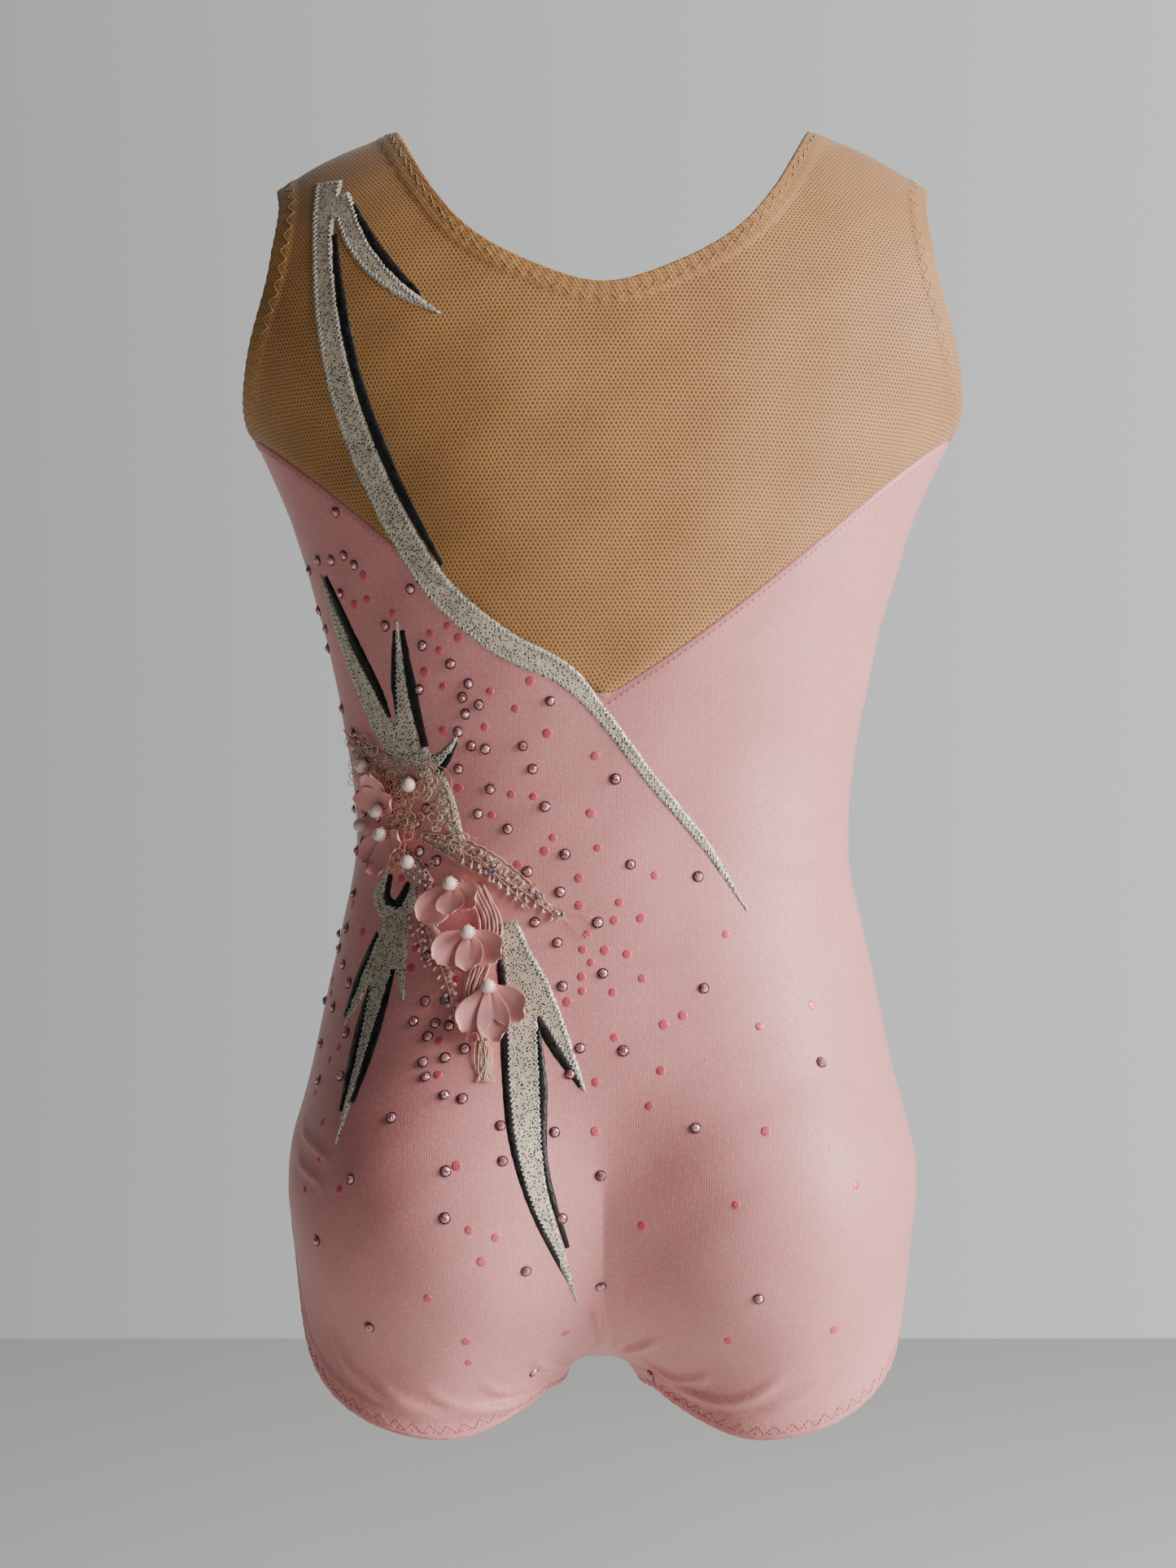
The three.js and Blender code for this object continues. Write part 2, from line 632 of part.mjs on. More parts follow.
function look(color, roughness, metalness = 0) {
  return { color, roughness, metalness };
}

const TAN_MESH = look(0x9f7e54, 0.75);
const PINK_SPANDEX = look(0xc3978f, 0.45);
const COTTON = look(0xe6ddd2, 0.9);
const RUBBER = look(0xf2efe8, 0.7);
const SILVER_FOIL = look(0xb4a79e, 0.4, 0.6);
const BLACK_FOIL = look(0x141214, 0.5);
const LACE_THREAD = look(0xb59a80, 0.6);
const PINK_CHIFFON = look(0xe8a3a3, 0.6);
const PEARL_WHITE = look(0xf1e6e0, 0.25);
const PINK_GLASS = look(0xc88a94, 0.1, 0.3);

function add(name, geometry, finish, parent = leotard) {
  geometry.computeVertexNormals();
  const mesh = new THREE.Mesh(geometry, new THREE.MeshStandardMaterial(finish));
  mesh.name = name;
  parent.add(mesh);
}

// Pattern pieces.
const YOKE_EDGES = { top: false, bottom: true, sides: false };
const BODY_EDGES = { top: true, bottom: true, sides: true };
add('back_yoke', sheet(drawnBack(backNet.yoke, YOKE_EDGES), SPANDEX - MESH, SPANDEX), TAN_MESH);
add('front_yoke', sheet(drawnBack(frontNet.yoke, YOKE_EDGES), SPANDEX - MESH, SPANDEX), TAN_MESH);
add('back_panel', sheet(drawnBack(backNet.body, BODY_EDGES), 0, SPANDEX), PINK_SPANDEX);
add('front_panel', sheet(drawnBack(frontNet.body, BODY_EDGES), 0, SPANDEX), PINK_SPANDEX);

// Crotch lining behind both panels, between the turned leg hems.
const liningColumns = [LEG_COLUMNS + 1, COLUMNS - LEG_COLUMNS];
const liningRows = (half) => half.body.slice(-LINING_ROWS - 1)
  .map((row) => row.slice(...liningColumns));
const lining = [...liningRows(backNet), ...liningRows(frontNet).reverse().slice(1)];
add('crotch_lining', sheet(lining, -GAP - LINING, -GAP), COTTON);

// Elastic and turned hem round each opening.
Object.entries(OPENINGS).forEach(([name, steps]) => {
  add(`${name}_elastic`, band(steps, ELASTIC_WIDTH, GAP, GAP + ELASTIC), RUBBER);
  const hemLook = name.endsWith('leg') ? PINK_SPANDEX : TAN_MESH;
  add(`${name}_hem`, band(steps, HEM_WIDTH, HEM_DEPTH, HEM_DEPTH + HEM), hemLook);
});

// Foil, black edging, lace and embroidery.
const { ribbon_black_edge: ribbonEdge, fork_black_edge: forkEdge } = BLACK;
const startsWith = (word) => Object.keys(BLACK).filter((name) => name.startsWith(word))
  .map((name) => BLACK[name]);
add('shoulder_ribbon', cutOut(foilLayer, [RIBBON, RIBBON_FORK], [ribbonEdge, forkEdge]), SILVER_FOIL);
add('waist_star', cutOut(foilLayer, WAIST_STAR, startsWith('waist')), SILVER_FOIL);
add('hip_star', cutOut(foilLayer, HIP_STAR, startsWith('hip')), SILVER_FOIL);
add('hip_blade', cutOut(foilLayer, HIP_BLADE, startsWith('blade')), SILVER_FOIL);
Object.entries(BLACK).forEach(([name, spine]) => {
  add(name, cutOut(foilLayer, [spine]), BLACK_FOIL);
});
Object.entries(LACE_LEAVES).forEach(([name, spine]) => {
  add(name, cutOut(laceLayer, [spine]), LACE_THREAD);
});
Object.entries(EMBROIDERY).forEach(([name, spine]) => {
  add(name, cutOut(foilLayer, [spine]), LACE_THREAD);
});

// Flowers, each with the pearl at its heart; petal angles are measured from the heading.
const FLOWERS = [
  { at: [-88, -287.5], heading: [-0.2, 1], petals: [[-65, 11, 8], [0, 16, 10], [42, 13, 9]] },
  { at: [-86.5, -297.5], heading: [-0.3, -1], petals: [[-32, 15, 10], [10, 17, 10], [84, 13, 8]] },
  { at: [-59, -318], heading: [-0.1, -1], petals: [[-31, 20, 12], [10, 13, 10], [58, 15, 10]] },
  { at: [-52, -337], heading: [0, -1], petals: [[-47, 18, 12], [7, 16, 10], [51, 18, 12]] },
  { at: [-44, -358], heading: [0.1, -1], petals: [[-31, 21, 12], [6, 23, 11], [42, 20, 12]] },
];
FLOWERS.forEach(({ at, heading, petals }, i) => {
  const group = standingAt(at, heading);
  const shapes = petals.map(([angle, length, width]) => ({ angle, length, width }));
  add(`flower_${i + 1}`, flower(shapes), PINK_CHIFFON, group);
  add(`flower_pearl_${i + 1}`, pearl(PEARL_ON_HEART), PEARL_WHITE, group);
});

const LOOSE_PEARLS = [
  { at: [-97, -269], base: HEART_BASE },
  { at: [-77, -277], base: TRIM_BASE },
  { at: [-98, -294], base: TRIM_BASE },
  { at: [-77.5, -309], base: HEART_BASE },
];
LOOSE_PEARLS.forEach(({ at, base }, i) => {
  add(`waist_pearl_${i + 1}`, pearl(base), PEARL_WHITE, standingAt(at));
});

const STONES = [[5, -275], [38, -314], [40, -358], [87, -388], [36, -411], [60, -476]];
STONES.forEach((at, i) => {
  add(`rhinestone_${i + 1}`, rhinestone(), PINK_GLASS, standingAt(at));
});

export default leotard;
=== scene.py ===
import json
import math

import bpy
import numpy as np
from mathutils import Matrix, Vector
from mathutils.bvhtree import BVHTree
from mathutils.geometry import delaunay_2d_cdt

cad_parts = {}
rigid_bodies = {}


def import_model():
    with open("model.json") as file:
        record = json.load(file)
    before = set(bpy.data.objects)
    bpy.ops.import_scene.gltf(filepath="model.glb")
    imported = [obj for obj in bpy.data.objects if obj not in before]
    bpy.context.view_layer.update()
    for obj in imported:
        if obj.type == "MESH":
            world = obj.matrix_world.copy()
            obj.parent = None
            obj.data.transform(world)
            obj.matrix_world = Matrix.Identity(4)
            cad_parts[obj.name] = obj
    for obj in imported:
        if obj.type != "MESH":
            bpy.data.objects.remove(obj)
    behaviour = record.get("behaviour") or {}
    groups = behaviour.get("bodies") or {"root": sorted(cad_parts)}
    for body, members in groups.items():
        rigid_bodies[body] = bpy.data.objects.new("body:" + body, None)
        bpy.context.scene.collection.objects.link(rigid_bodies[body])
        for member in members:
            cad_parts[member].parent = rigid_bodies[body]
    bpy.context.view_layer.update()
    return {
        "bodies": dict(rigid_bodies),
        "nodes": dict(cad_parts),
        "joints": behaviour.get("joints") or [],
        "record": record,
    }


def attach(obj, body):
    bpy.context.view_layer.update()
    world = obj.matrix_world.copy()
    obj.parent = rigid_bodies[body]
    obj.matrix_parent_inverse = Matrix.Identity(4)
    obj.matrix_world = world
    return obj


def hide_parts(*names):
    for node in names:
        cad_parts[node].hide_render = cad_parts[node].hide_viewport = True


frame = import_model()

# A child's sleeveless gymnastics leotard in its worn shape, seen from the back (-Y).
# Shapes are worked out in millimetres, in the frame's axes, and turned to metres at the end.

MM = 0.001
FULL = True
RNG = np.random.default_rng(11)

# ------------------------------------------------------------------ body sizes, as in the CAD

WAIST = -302
CROTCH = -517
ARMPIT = -110
SHOULDER_RISE = 10
# Height, half width, depth of the back, depth of the front.
LEVELS = np.array([
    (-60, 180, 80, 74), (-100, 165, 83, 82), (-140, 143, 82, 87), (-180, 127, 78, 88),
    (WAIST + 62, 111.5, 69, 84), (WAIST, 104, 62, 82), (WAIST - 38, 111, 67, 85),
    (CROTCH + 97, 127, 80, 86), (CROTCH + 57, 127, 80, 77), (CROTCH + 17, 125, 74, 68),
], float)
# How square the torso is across, how it rounds off over the shoulders and under the crotch.
TORSO = dict(squareness=2.3, shoulder_round=2.2, foot=CROTCH + 82, foot_depth=84, size=80)
LEG = dict(x=72, y=-4, half_width=55, depth=63, blend_top=CROTCH + 67, blend=60)
SEAT = dict(x=58, y=-34, z=CROTCH + 68, half_width=62, depth=62, height=70)
LEG_FLOW = 16
SEAT_FLOW = 22

SPANDEX = 0.8
MESH_CLOTH = 0.6
ELASTIC = 0.8
HEM_WIDTH = 9

# Columns and rows of the coarse net, and how many times finer the drawn one is.
SHOULDER_COLUMNS = 2
NECK_COLUMNS = 16
CROTCH_COLUMNS = 4
COLUMNS = 2 * SHOULDER_COLUMNS + NECK_COLUMNS
LEG_COLUMNS = (COLUMNS - CROTCH_COLUMNS) // 2
YOKE_ROWS = 8
BODY_ROWS = 14
FINER = 10 if FULL else 8


def profile(column, z):
    """Smooth value of a LEVELS column at heights z."""
    heights = LEVELS[:, 0]
    last = len(LEVELS) - 1
    i = np.clip(np.searchsorted(-heights, -z, side="right") - 1, 0, last - 1)
    a, b, c, d = (np.clip(i + k, 0, last) for k in (-1, 0, 1, 2))
    value = LEVELS[:, column]
    span = heights[c] - heights[b]
    t = np.clip((z - heights[b]) / span, 0, 1)
    start = (value[c] - value[a]) / (heights[c] - heights[a]) * span
    end = (value[d] - value[b]) / (heights[d] - heights[b]) * span
    bend = 3 * (value[c] - value[b]) - 2 * start - end
    twist = start + end - 2 * (value[c] - value[b])
    return value[b] + t * (start + t * (bend + t * twist))


def blend(a, b, radius):
    h = np.clip(0.5 + 0.5 * (b - a) / radius, 0, 1)
    return b * (1 - h) + a * h - radius * h * (1 - h)


def skin(p):
    """Zero on the body, negative inside it, near to a distance in millimetres close to it."""
    x, y, z = np.abs(p[..., 0]), p[..., 1], p[..., 2]
    depth = np.where(y < 0, profile(2, z), profile(3, z))
    up = np.maximum(0, (z - ARMPIT) / (SHOULDER_RISE - ARMPIT))
    down = np.maximum(0, (TORSO["foot"] - z) / TORSO["foot_depth"])
    across = (x / profile(1, z)) ** TORSO["squareness"]
    torso = (np.sqrt((y / depth) ** 2 + across + up ** TORSO["shoulder_round"] + down ** 2)
             - 1) * TORSO["size"]
    top = np.maximum(0, (z - LEG["blend_top"]) / LEG["blend"])
    leg = (np.sqrt(((x - LEG["x"]) / LEG["half_width"]) ** 2 + ((y - LEG["y"]) / LEG["depth"]) ** 2
                   + top ** 2) - 1) * LEG["half_width"]
    seat = (np.sqrt(((x - SEAT["x"]) / SEAT["half_width"]) ** 2
                    + ((y - SEAT["y"]) / SEAT["depth"]) ** 2
                    + ((z - SEAT["z"]) / SEAT["height"]) ** 2) - 1) * SEAT["half_width"]
    return blend(blend(torso, leg, LEG_FLOW), seat, SEAT_FLOW)


def slope(p):
    step = 0.5
    parts = []
    for axis in range(3):
        offset = np.zeros(3)
        offset[axis] = step
        parts.append((skin(p + offset) - skin(p - offset)) / (2 * step))
    return np.stack(parts, -1)


def steps_of(line):
    """Lengths of the steps between a line's points."""
    return np.linalg.norm(np.diff(line, axis=0), axis=1)


def unit(v):
    return v / np.maximum(np.linalg.norm(v, axis=-1, keepdims=True), 1e-9)


def outward(p):
    return unit(slope(p))


def to_skin(p, rounds=6):
    for _ in range(rounds):
        g = slope(p)
        p = p - (skin(p) / np.maximum((g ** 2).sum(-1), 1e-9))[..., None] * g
    return p


# ------------------------------------------------------------------ lines on the body

def spline(points, steps=24, before=None):
    """Centripetal Catmull-Rom line through the points, `steps` samples to a span."""
    p = np.array(points, float)
    first = 2 * p[0] - p[1] if before is None else before
    p = np.vstack([first, p, 2 * p[-1] - p[-2]])
    t = np.linspace(0, 1, steps, endpoint=False)[:, None]
    line = []
    for i in range(1, len(p) - 2):
        x0, x1, x2, x3 = p[i - 1:i + 3]
        d0, d1, d2 = (math.sqrt(max(np.linalg.norm(b - a), 1e-6)) for a, b in
                      ((x0, x1), (x1, x2), (x2, x3)))
        m1 = ((x1 - x0) / d0 - (x2 - x0) / (d0 + d1) + (x2 - x1) / d1) * d1
        m2 = ((x2 - x1) / d1 - (x3 - x1) / (d1 + d2) + (x3 - x2) / d2) * d1
        c2 = -3 * x1 + 3 * x2 - 2 * m1 - m2
        c3 = 2 * x1 - 2 * x2 + m1 + m2
        line.append(x1 + t * (m1 + t * (c2 + t * c3)))
    return np.vstack(line + [p[-2:-1]])


def spaced(line, count):
    """count + 1 points at even distances along a line."""
    length = np.concatenate([[0], np.cumsum(steps_of(line))])
    at = np.linspace(0, length[-1], count + 1)
    return np.stack([np.interp(at, length, line[:, k]) for k in range(line.shape[1])], 1)


def flat_line(points, steps=10):
    """Smooth line through x, z pairs."""
    return spline([(x, 0, z) for x, z in points], steps)[:, (0, 2)]


def left_of(ahead):
    """Flat directions turned a quarter to the left."""
    return np.stack([-ahead[:, 1], ahead[:, 0]], 1)


def along(points, count, before=None):
    return to_skin(spaced(spline(points, before=before), count))


def mirrored(line):
    return line * (-1, 1, 1)


def both_sides(half):
    return np.vstack([mirrored(half[1:])[::-1], half])


NECK_POINT = (87, 0, -5)
SHOULDER_POINT = (134, 0, -27)
UNDERARM = (155, 0, -131)
HIP_POINT = (131, 0, CROTCH + 79)
CROTCH_EDGE = (19, 0, CROTCH - 12)
SHOULDER_LINE = [NECK_POINT, (110, 0, -12), SHOULDER_POINT]
SIDE_LINE = [UNDERARM, (138, 0, -158), (112, 0, WAIST + 62), (104, 0, WAIST),
             (120, 0, CROTCH + 129), HIP_POINT]
CROTCH_LINE = [(0, 0, CROTCH), (12, 0, CROTCH - 5), CROTCH_EDGE]
BACK = {
    "neck": [(0, -80, -80), (32, -76, -70), (53, -68, -57), (66, -55, -43), (76, -36, -27),
             NECK_POINT],
    "armhole": [SHOULDER_POINT, (134, -40, -42), (138, -52, -72), (146, -40, -104),
                (153, -18, -124), UNDERARM],
    "yoke_seam": [(0, -72, -244), (36, -70, -219), (85, -62, -181), (120, -45, -153),
                  (142, -24, -137), UNDERARM],
    "leg_edge": [CROTCH_EDGE, (18, -34, CROTCH - 11), (24, -50, CROTCH - 14),
                 (38, -62, CROTCH - 18), (62, -66, CROTCH - 21), (86, -60, CROTCH - 17),
                 (109, -48, CROTCH - 6), (121, -35, CROTCH + 6), (129, -20, CROTCH + 29),
                 HIP_POINT],
}
FRONT = {
    "neck": [(0, 74, -74), (32, 72, -66), (56, 62, -50), (74, 36, -24), NECK_POINT],
    "armhole": [SHOULDER_POINT, (128, 38, -44), (126, 56, -74), (138, 50, -108),
                (150, 22, -126), UNDERARM],
    "yoke_seam": [(0, 88, -196), (50, 84, -176), (100, 66, -152), (138, 30, -136), UNDERARM],
    "leg_edge": [CROTCH_EDGE, (21, 30, CROTCH + 1), (36, 58, CROTCH + 17),
                 (62, 72, CROTCH + 37), (92, 66, CROTCH + 57), (118, 42, CROTCH + 72), HIP_POINT],
}


# ------------------------------------------------------------------ taut cloth over the body

def coons(top, bottom, left, right):
    u = np.linspace(0, 1, len(top))[None, :, None]
    v = np.linspace(0, 1, len(left))[:, None, None]
    ruled = (1 - v) * top[None] + v * bottom[None] + (1 - u) * left[:, None] + u * right[:, None]
    corners = ((1 - u) * (1 - v) * top[0] + u * (1 - v) * top[-1] + (1 - u) * v * bottom[0]
               + u * v * bottom[-1])
    return ruled - corners


def tighten(net, passes):
    """Pulls the inside of a net taut, and keeps it out of the body."""
    for _ in range(passes):
        inner = (net[:-2, 1:-1] + net[2:, 1:-1] + net[1:-1, :-2] + net[1:-1, 2:]) / 4
        inside = skin(inner) < 0
        inner[inside] = to_skin(inner[inside], 1)
        net[1:-1, 1:-1] = inner
    return net


def enlarge(coarse, times):
    """A net `times` finer, by straight lines between its points."""
    rows, columns = coarse.shape[:2]
    r = np.linspace(0, rows - 1, (rows - 1) * times + 1)
    c = np.linspace(0, columns - 1, (columns - 1) * times + 1)
    r0 = np.minimum(r.astype(int), rows - 2)
    c0 = np.minimum(c.astype(int), columns - 2)
    fr = (r - r0)[:, None, None]
    fc = (c - c0)[None, :, None]
    return ((coarse[r0][:, c0] * (1 - fc) + coarse[r0][:, c0 + 1] * fc) * (1 - fr)
            + (coarse[r0 + 1][:, c0] * (1 - fc) + coarse[r0 + 1][:, c0 + 1] * fc) * fr)


COARSE_PASSES = 260
FINE_PASSES = 90


def taut_net(edges_at):
    """edges_at(finer) gives the four edges; the net is found coarse first, then fine."""
    coarse = coons(*edges_at(1))
    coarse[1:-1, 1:-1] = to_skin(coarse[1:-1, 1:-1])
    net = enlarge(tighten(coarse, COARSE_PASSES), FINER)
    net[0], net[-1], net[:, 0], net[:, -1] = edges_at(FINER)
    return tighten(net, FINE_PASSES)


def half_nets(lines):
    def top(k):
        neck = along(lines["neck"], NECK_COLUMNS // 2 * k, mirrored(np.array(lines["neck"][1])))
        return both_sides(np.vstack([neck, along(SHOULDER_LINE, SHOULDER_COLUMNS * k)[1:]]))

    def seam(k):
        return both_sides(along(lines["yoke_seam"], COLUMNS // 2 * k))

    def bottom(k):
        crotch = along(CROTCH_LINE, CROTCH_COLUMNS // 2 * k)
        return both_sides(np.vstack([crotch, along(lines["leg_edge"], LEG_COLUMNS * k)[1:]]))

    def yoke_edges(k):
        arm = along(lines["armhole"], YOKE_ROWS * k)
        return top(k), seam(k), mirrored(arm), arm

    def body_edges(k):
        side = along(SIDE_LINE, BODY_ROWS * k)
        return seam(k), bottom(k), mirrored(side), side

    return taut_net(yoke_edges), taut_net(body_edges)


back_yoke_net, back_body_net = half_nets(BACK)
front_yoke_net, front_body_net = half_nets(FRONT)


# ------------------------------------------------------------------ laying things on cloth

def grid_faces(rows, columns, start=0):
    index = start + np.arange(rows * columns).reshape(rows, columns)
    return np.stack([index[:-1, :-1], index[1:, :-1], index[1:, 1:], index[:-1, 1:]],
                    -1).reshape(-1, 4)


RAY_START = -200
# Steps aside that carry a point over the hairline between two panels.
SEAM_STEPS = ((0, 0), (0, 0.4), (0, -0.4), (0.4, 0), (-0.4, 0))


class Surface:
    """The outside of several cloths, for laying things on from behind the wearer."""

    def __init__(self, nets):
        points, faces, count = [], [], 0
        for net in nets:
            rows, columns = net.shape[:2]
            points.append(net.reshape(-1, 3))
            faces += grid_faces(rows, columns, count).tolist()
            count += rows * columns
        self.tree = BVHTree.FromPolygons(np.vstack(points).tolist(), faces)

    def at(self, flat):
        """Points of the cloth straight in front of x, z pairs, and the outward directions there."""
        found = np.full((len(flat), 3), np.nan)
        for i, (x, z) in enumerate(flat):
            for aside, above in SEAM_STEPS:
                start = Vector((x + aside, RAY_START, z + above))
                hit = self.tree.ray_cast(start, Vector((0, 1, 0)))[0]
                if hit is not None:
                    found[i] = (x, hit.y, z)
                    break
        return found, outward(np.nan_to_num(found))

    def snap(self, points):
        return np.array([self.tree.find_nearest(Vector(p))[0] for p in points])


# ------------------------------------------------------------------ folds and seams in the cloth

def nearest(points, line):
    """Distance from each point to a line of points, and how far along it (0 to 1) that is."""
    a, b = line[:-1], line[1:]
    ab = b - a
    lengths = np.linalg.norm(ab, axis=1)
    start = np.concatenate([[0], np.cumsum(lengths)[:-1]])
    best = np.full(len(points), np.inf)
    place = np.zeros(len(points))
    for i in range(len(a)):
        t = np.clip(((points - a[i]) @ ab[i]) / max(lengths[i] ** 2, 1e-12), 0, 1)
        gap = np.linalg.norm(points - a[i] - t[:, None] * ab[i], axis=1)
        closer = gap < best
        best[closer] = gap[closer]
        place[closer] = (start[i] + t * lengths[i])[closer]
    return best, place / max(start[-1] + lengths[-1], 1e-9)


def smooth(t):
    t = np.clip(t, 0, 1)
    return t * t * (3 - 2 * t)


# Ridges on the back: the x, z points of the crest, its half width and its height.
FOLDS = [
    ([(-50, -513), (-42, -520), (-29, -521), (-18, -516)], 2.4, 2.0),
    ([(-73, -513), (-62, -523), (-46, -526), (-29, -524), (-19, -519)], 2.5, 2.2),
    ([(-95, -502), (-86, -518), (-72, -526), (-55, -528), (-36, -527), (-24, -523)], 2.5, 2.0),
    ([(-110, -490), (-103, -508), (-91, -520), (-75, -528), (-58, -530)], 2.3, 1.6),
    ([(-30, -505), (-23, -513), (-15, -516), (-9, -509)], 2.7, 2.8),
    ([(-4, -480), (-2, -492), (0, -503), (-1, -511)], 2.6, 3.2),
    ([(24, -497), (15, -506), (8, -509), (5, -500)], 2.3, 2.6),
    ([(10, -508), (20, -515), (30, -518), (39, -515), (46, -508)], 2.2, 1.8),
    ([(20, -517), (34, -522), (49, -524), (63, -518), (76, -504)], 2.4, 2.1),
    ([(60, -527), (78, -521), (92, -508)], 2.4, 1.4),
    ([(84, -521), (100, -508), (108, -494)], 2.6, 1.0),
    ([(-124, -419), (-116, -423), (-106, -427)], 2.2, 1.4),
    ([(-125, -430), (-117, -434), (-109, -437)], 2.0, 1.2),
    ([(125, -417), (116, -421), (106, -427)], 2.2, 1.4),
    ([(126, -428), (118, -432), (110, -435)], 2.0, 1.2),
    ([(-100, -314), (-80, -322), (-58, -325)], 4.5, 0.5),
    ([(101, -300), (84, -308), (62, -311)], 4.5, 0.7),
    ([(104, -286), (88, -291), (72, -292)], 3.5, 0.5),
    ([(20, -236), (48, -226), (78, -206)], 3.5, 0.4),
]
# The share of a fold's length over which it dies away at each end; its valleys, as shares of
# its height and its width.
FOLD_ENDS = 0.3
FOLD_VALLEY = 0.35
FOLD_VALLEY_WIDTH = 2.3
WAVE_HEIGHT = 0.35
CALM_EDGE = 6
LEAST_RISE = -0.5
SEAM_DIP = 0.55
SEAM_WIDTH = 1.6
HEM_RISE = 0.45
HEM_SOFT = 1.2
PUCKER = 0.22
PUCKER_PITCH = 5.2


def raise_folds(net):
    """Height of the folds at each point of a back net."""
    laid = Surface([net])
    points = net.reshape(-1, 3)
    height = np.zeros(len(points))
    for crest_points, width, rise in FOLDS:
        flat = flat_line(crest_points, 8)
        crest = laid.at(flat)[0]
        crest = crest[~np.isnan(crest[:, 0])]
        if len(crest) < 3:
            continue
        gap, place = nearest(points, crest)
        ends = smooth(place / FOLD_ENDS) * smooth((1 - place) / FOLD_ENDS)
        valley = np.exp(-(gap / (FOLD_VALLEY_WIDTH * width)) ** 2)
        shape = np.exp(-(gap / width) ** 2) - FOLD_VALLEY * valley
        height += rise * ends * shape
    return height.reshape(net.shape[:2])


def waves(net):
    """Slow unevenness of taut cloth."""
    x, y, z = net[..., 0], net[..., 1], net[..., 2]
    return WAVE_HEIGHT * (np.sin(x / 13 + z / 21 + 0.6) * np.sin(z / 17 - y / 15)
                          + 0.6 * np.sin(x / 7.3 - z / 9.1 + 1.9) * np.sin(z / 11.7 + y / 9))


class Cloth:
    """One panel: its net, the distances to its hems and seams, and its two drawn faces."""

    def __init__(self, net, hems, seams, folds, thickness):
        self.net = net
        flat = net.reshape(-1, 3)
        self.normal = outward(net)
        self.hem = np.full(len(flat), np.inf)
        ripple = np.zeros(len(flat))
        for line in hems:
            gap, place = nearest(flat, line)
            wave = np.sin(place * steps_of(line).sum() / PUCKER_PITCH * 2 * math.pi)
            closer = gap < self.hem
            ripple[closer] = (wave * np.exp(-(gap / HEM_WIDTH) ** 2))[closer]
            self.hem = np.minimum(self.hem, gap)
        self.seam = np.full(len(flat), np.inf)
        for line in seams:
            self.seam = np.minimum(self.seam, nearest(flat, line)[0])
        shape = net.shape[:2]
        self.hem = self.hem.reshape(shape)
        self.seam = self.seam.reshape(shape)
        calm = smooth(self.seam / CALM_EDGE) * smooth(self.hem / CALM_EDGE)
        rise = waves(net) * calm
        if folds:
            rise += raise_folds(net) * smooth((self.hem + 1) / 4)
        rise += HEM_RISE * smooth((HEM_WIDTH - self.hem) / HEM_SOFT)
        rise += PUCKER * ripple.reshape(shape)
        rise -= SEAM_DIP * np.exp(-(self.seam / SEAM_WIDTH) ** 2)
        rise = np.maximum(rise, LEAST_RISE)
        self.outer = net + self.normal * (thickness + rise)[..., None]
        self.inner = net + self.normal * rise[..., None]


def edge(net, side):
    return {"top": net[0], "bottom": net[-1], "left": net[:, 0], "right": net[:, -1]}[side]


def leg_part(net, side):
    """The leg line of one side, from the crotch to the hip, out of a body net's last row."""
    last = net[-1]
    leg = LEG_COLUMNS * FINER
    return last[:leg + 1][::-1] if side < 0 else last[-leg - 1:]


def neck_part(net):
    shoulder = SHOULDER_COLUMNS * FINER
    return net[0][shoulder:-shoulder]


def yoke_cloth(net):
    hems = [neck_part(net), edge(net, "left"), edge(net, "right")]
    return Cloth(net, hems, [edge(net, "bottom")], False, MESH_CLOTH)


def body_cloth(net, folds):
    hems = [leg_part(net, -1), leg_part(net, 1)]
    seams = [edge(net, "top"), edge(net, "left"), edge(net, "right")]
    return Cloth(net, hems, seams, folds, SPANDEX)


# From this row of the coarse net down, the back panel's rows are this many times closer.
FOLDED_FROM = 9
FOLD_ROWS = 3


def closer_rows(net, first, times):
    """The net with its rows `times` as close from the row `first` down."""
    rows = np.linspace(first, len(net) - 1, (len(net) - 1 - first) * times + 1)
    low = np.minimum(rows.astype(int), len(net) - 2)
    share = (rows - low)[:, None, None]
    return np.vstack([net[:first], net[low] * (1 - share) + net[low + 1] * share])


back_yoke = yoke_cloth(back_yoke_net)
front_yoke = yoke_cloth(front_yoke_net)
back_panel = body_cloth(closer_rows(back_body_net, FOLDED_FROM * FINER, FOLD_ROWS), True)
front_panel = body_cloth(front_body_net, False)


# ------------------------------------------------------------------ meshes

def border(rows, columns):
    index = np.arange(rows * columns).reshape(rows, columns)
    return np.concatenate([index[0], index[1:, -1], index[-1, -2::-1], index[-2:0:-1, 0]])


def shell(outer, inner):
    """A closed solid between two nets of the same size."""
    rows, columns = outer.shape[:2]
    count = rows * columns
    ring = border(rows, columns)
    following = np.roll(ring, -1)
    wall = np.stack([ring, following, following + count, ring + count], 1)
    faces = np.vstack([grid_faces(rows, columns), grid_faces(rows, columns, count)[:, ::-1],
                       wall])
    return np.vstack([outer.reshape(-1, 3), inner.reshape(-1, 3)]), faces


def tri_volume(points, faces):
    faces = np.asarray(faces)
    total = 0.0
    for i in range(1, faces.shape[1] - 1):
        a, b, c = points[faces[:, 0]], points[faces[:, i]], points[faces[:, i + 1]]
        total += (a * np.cross(b, c)).sum() / 6
    return total


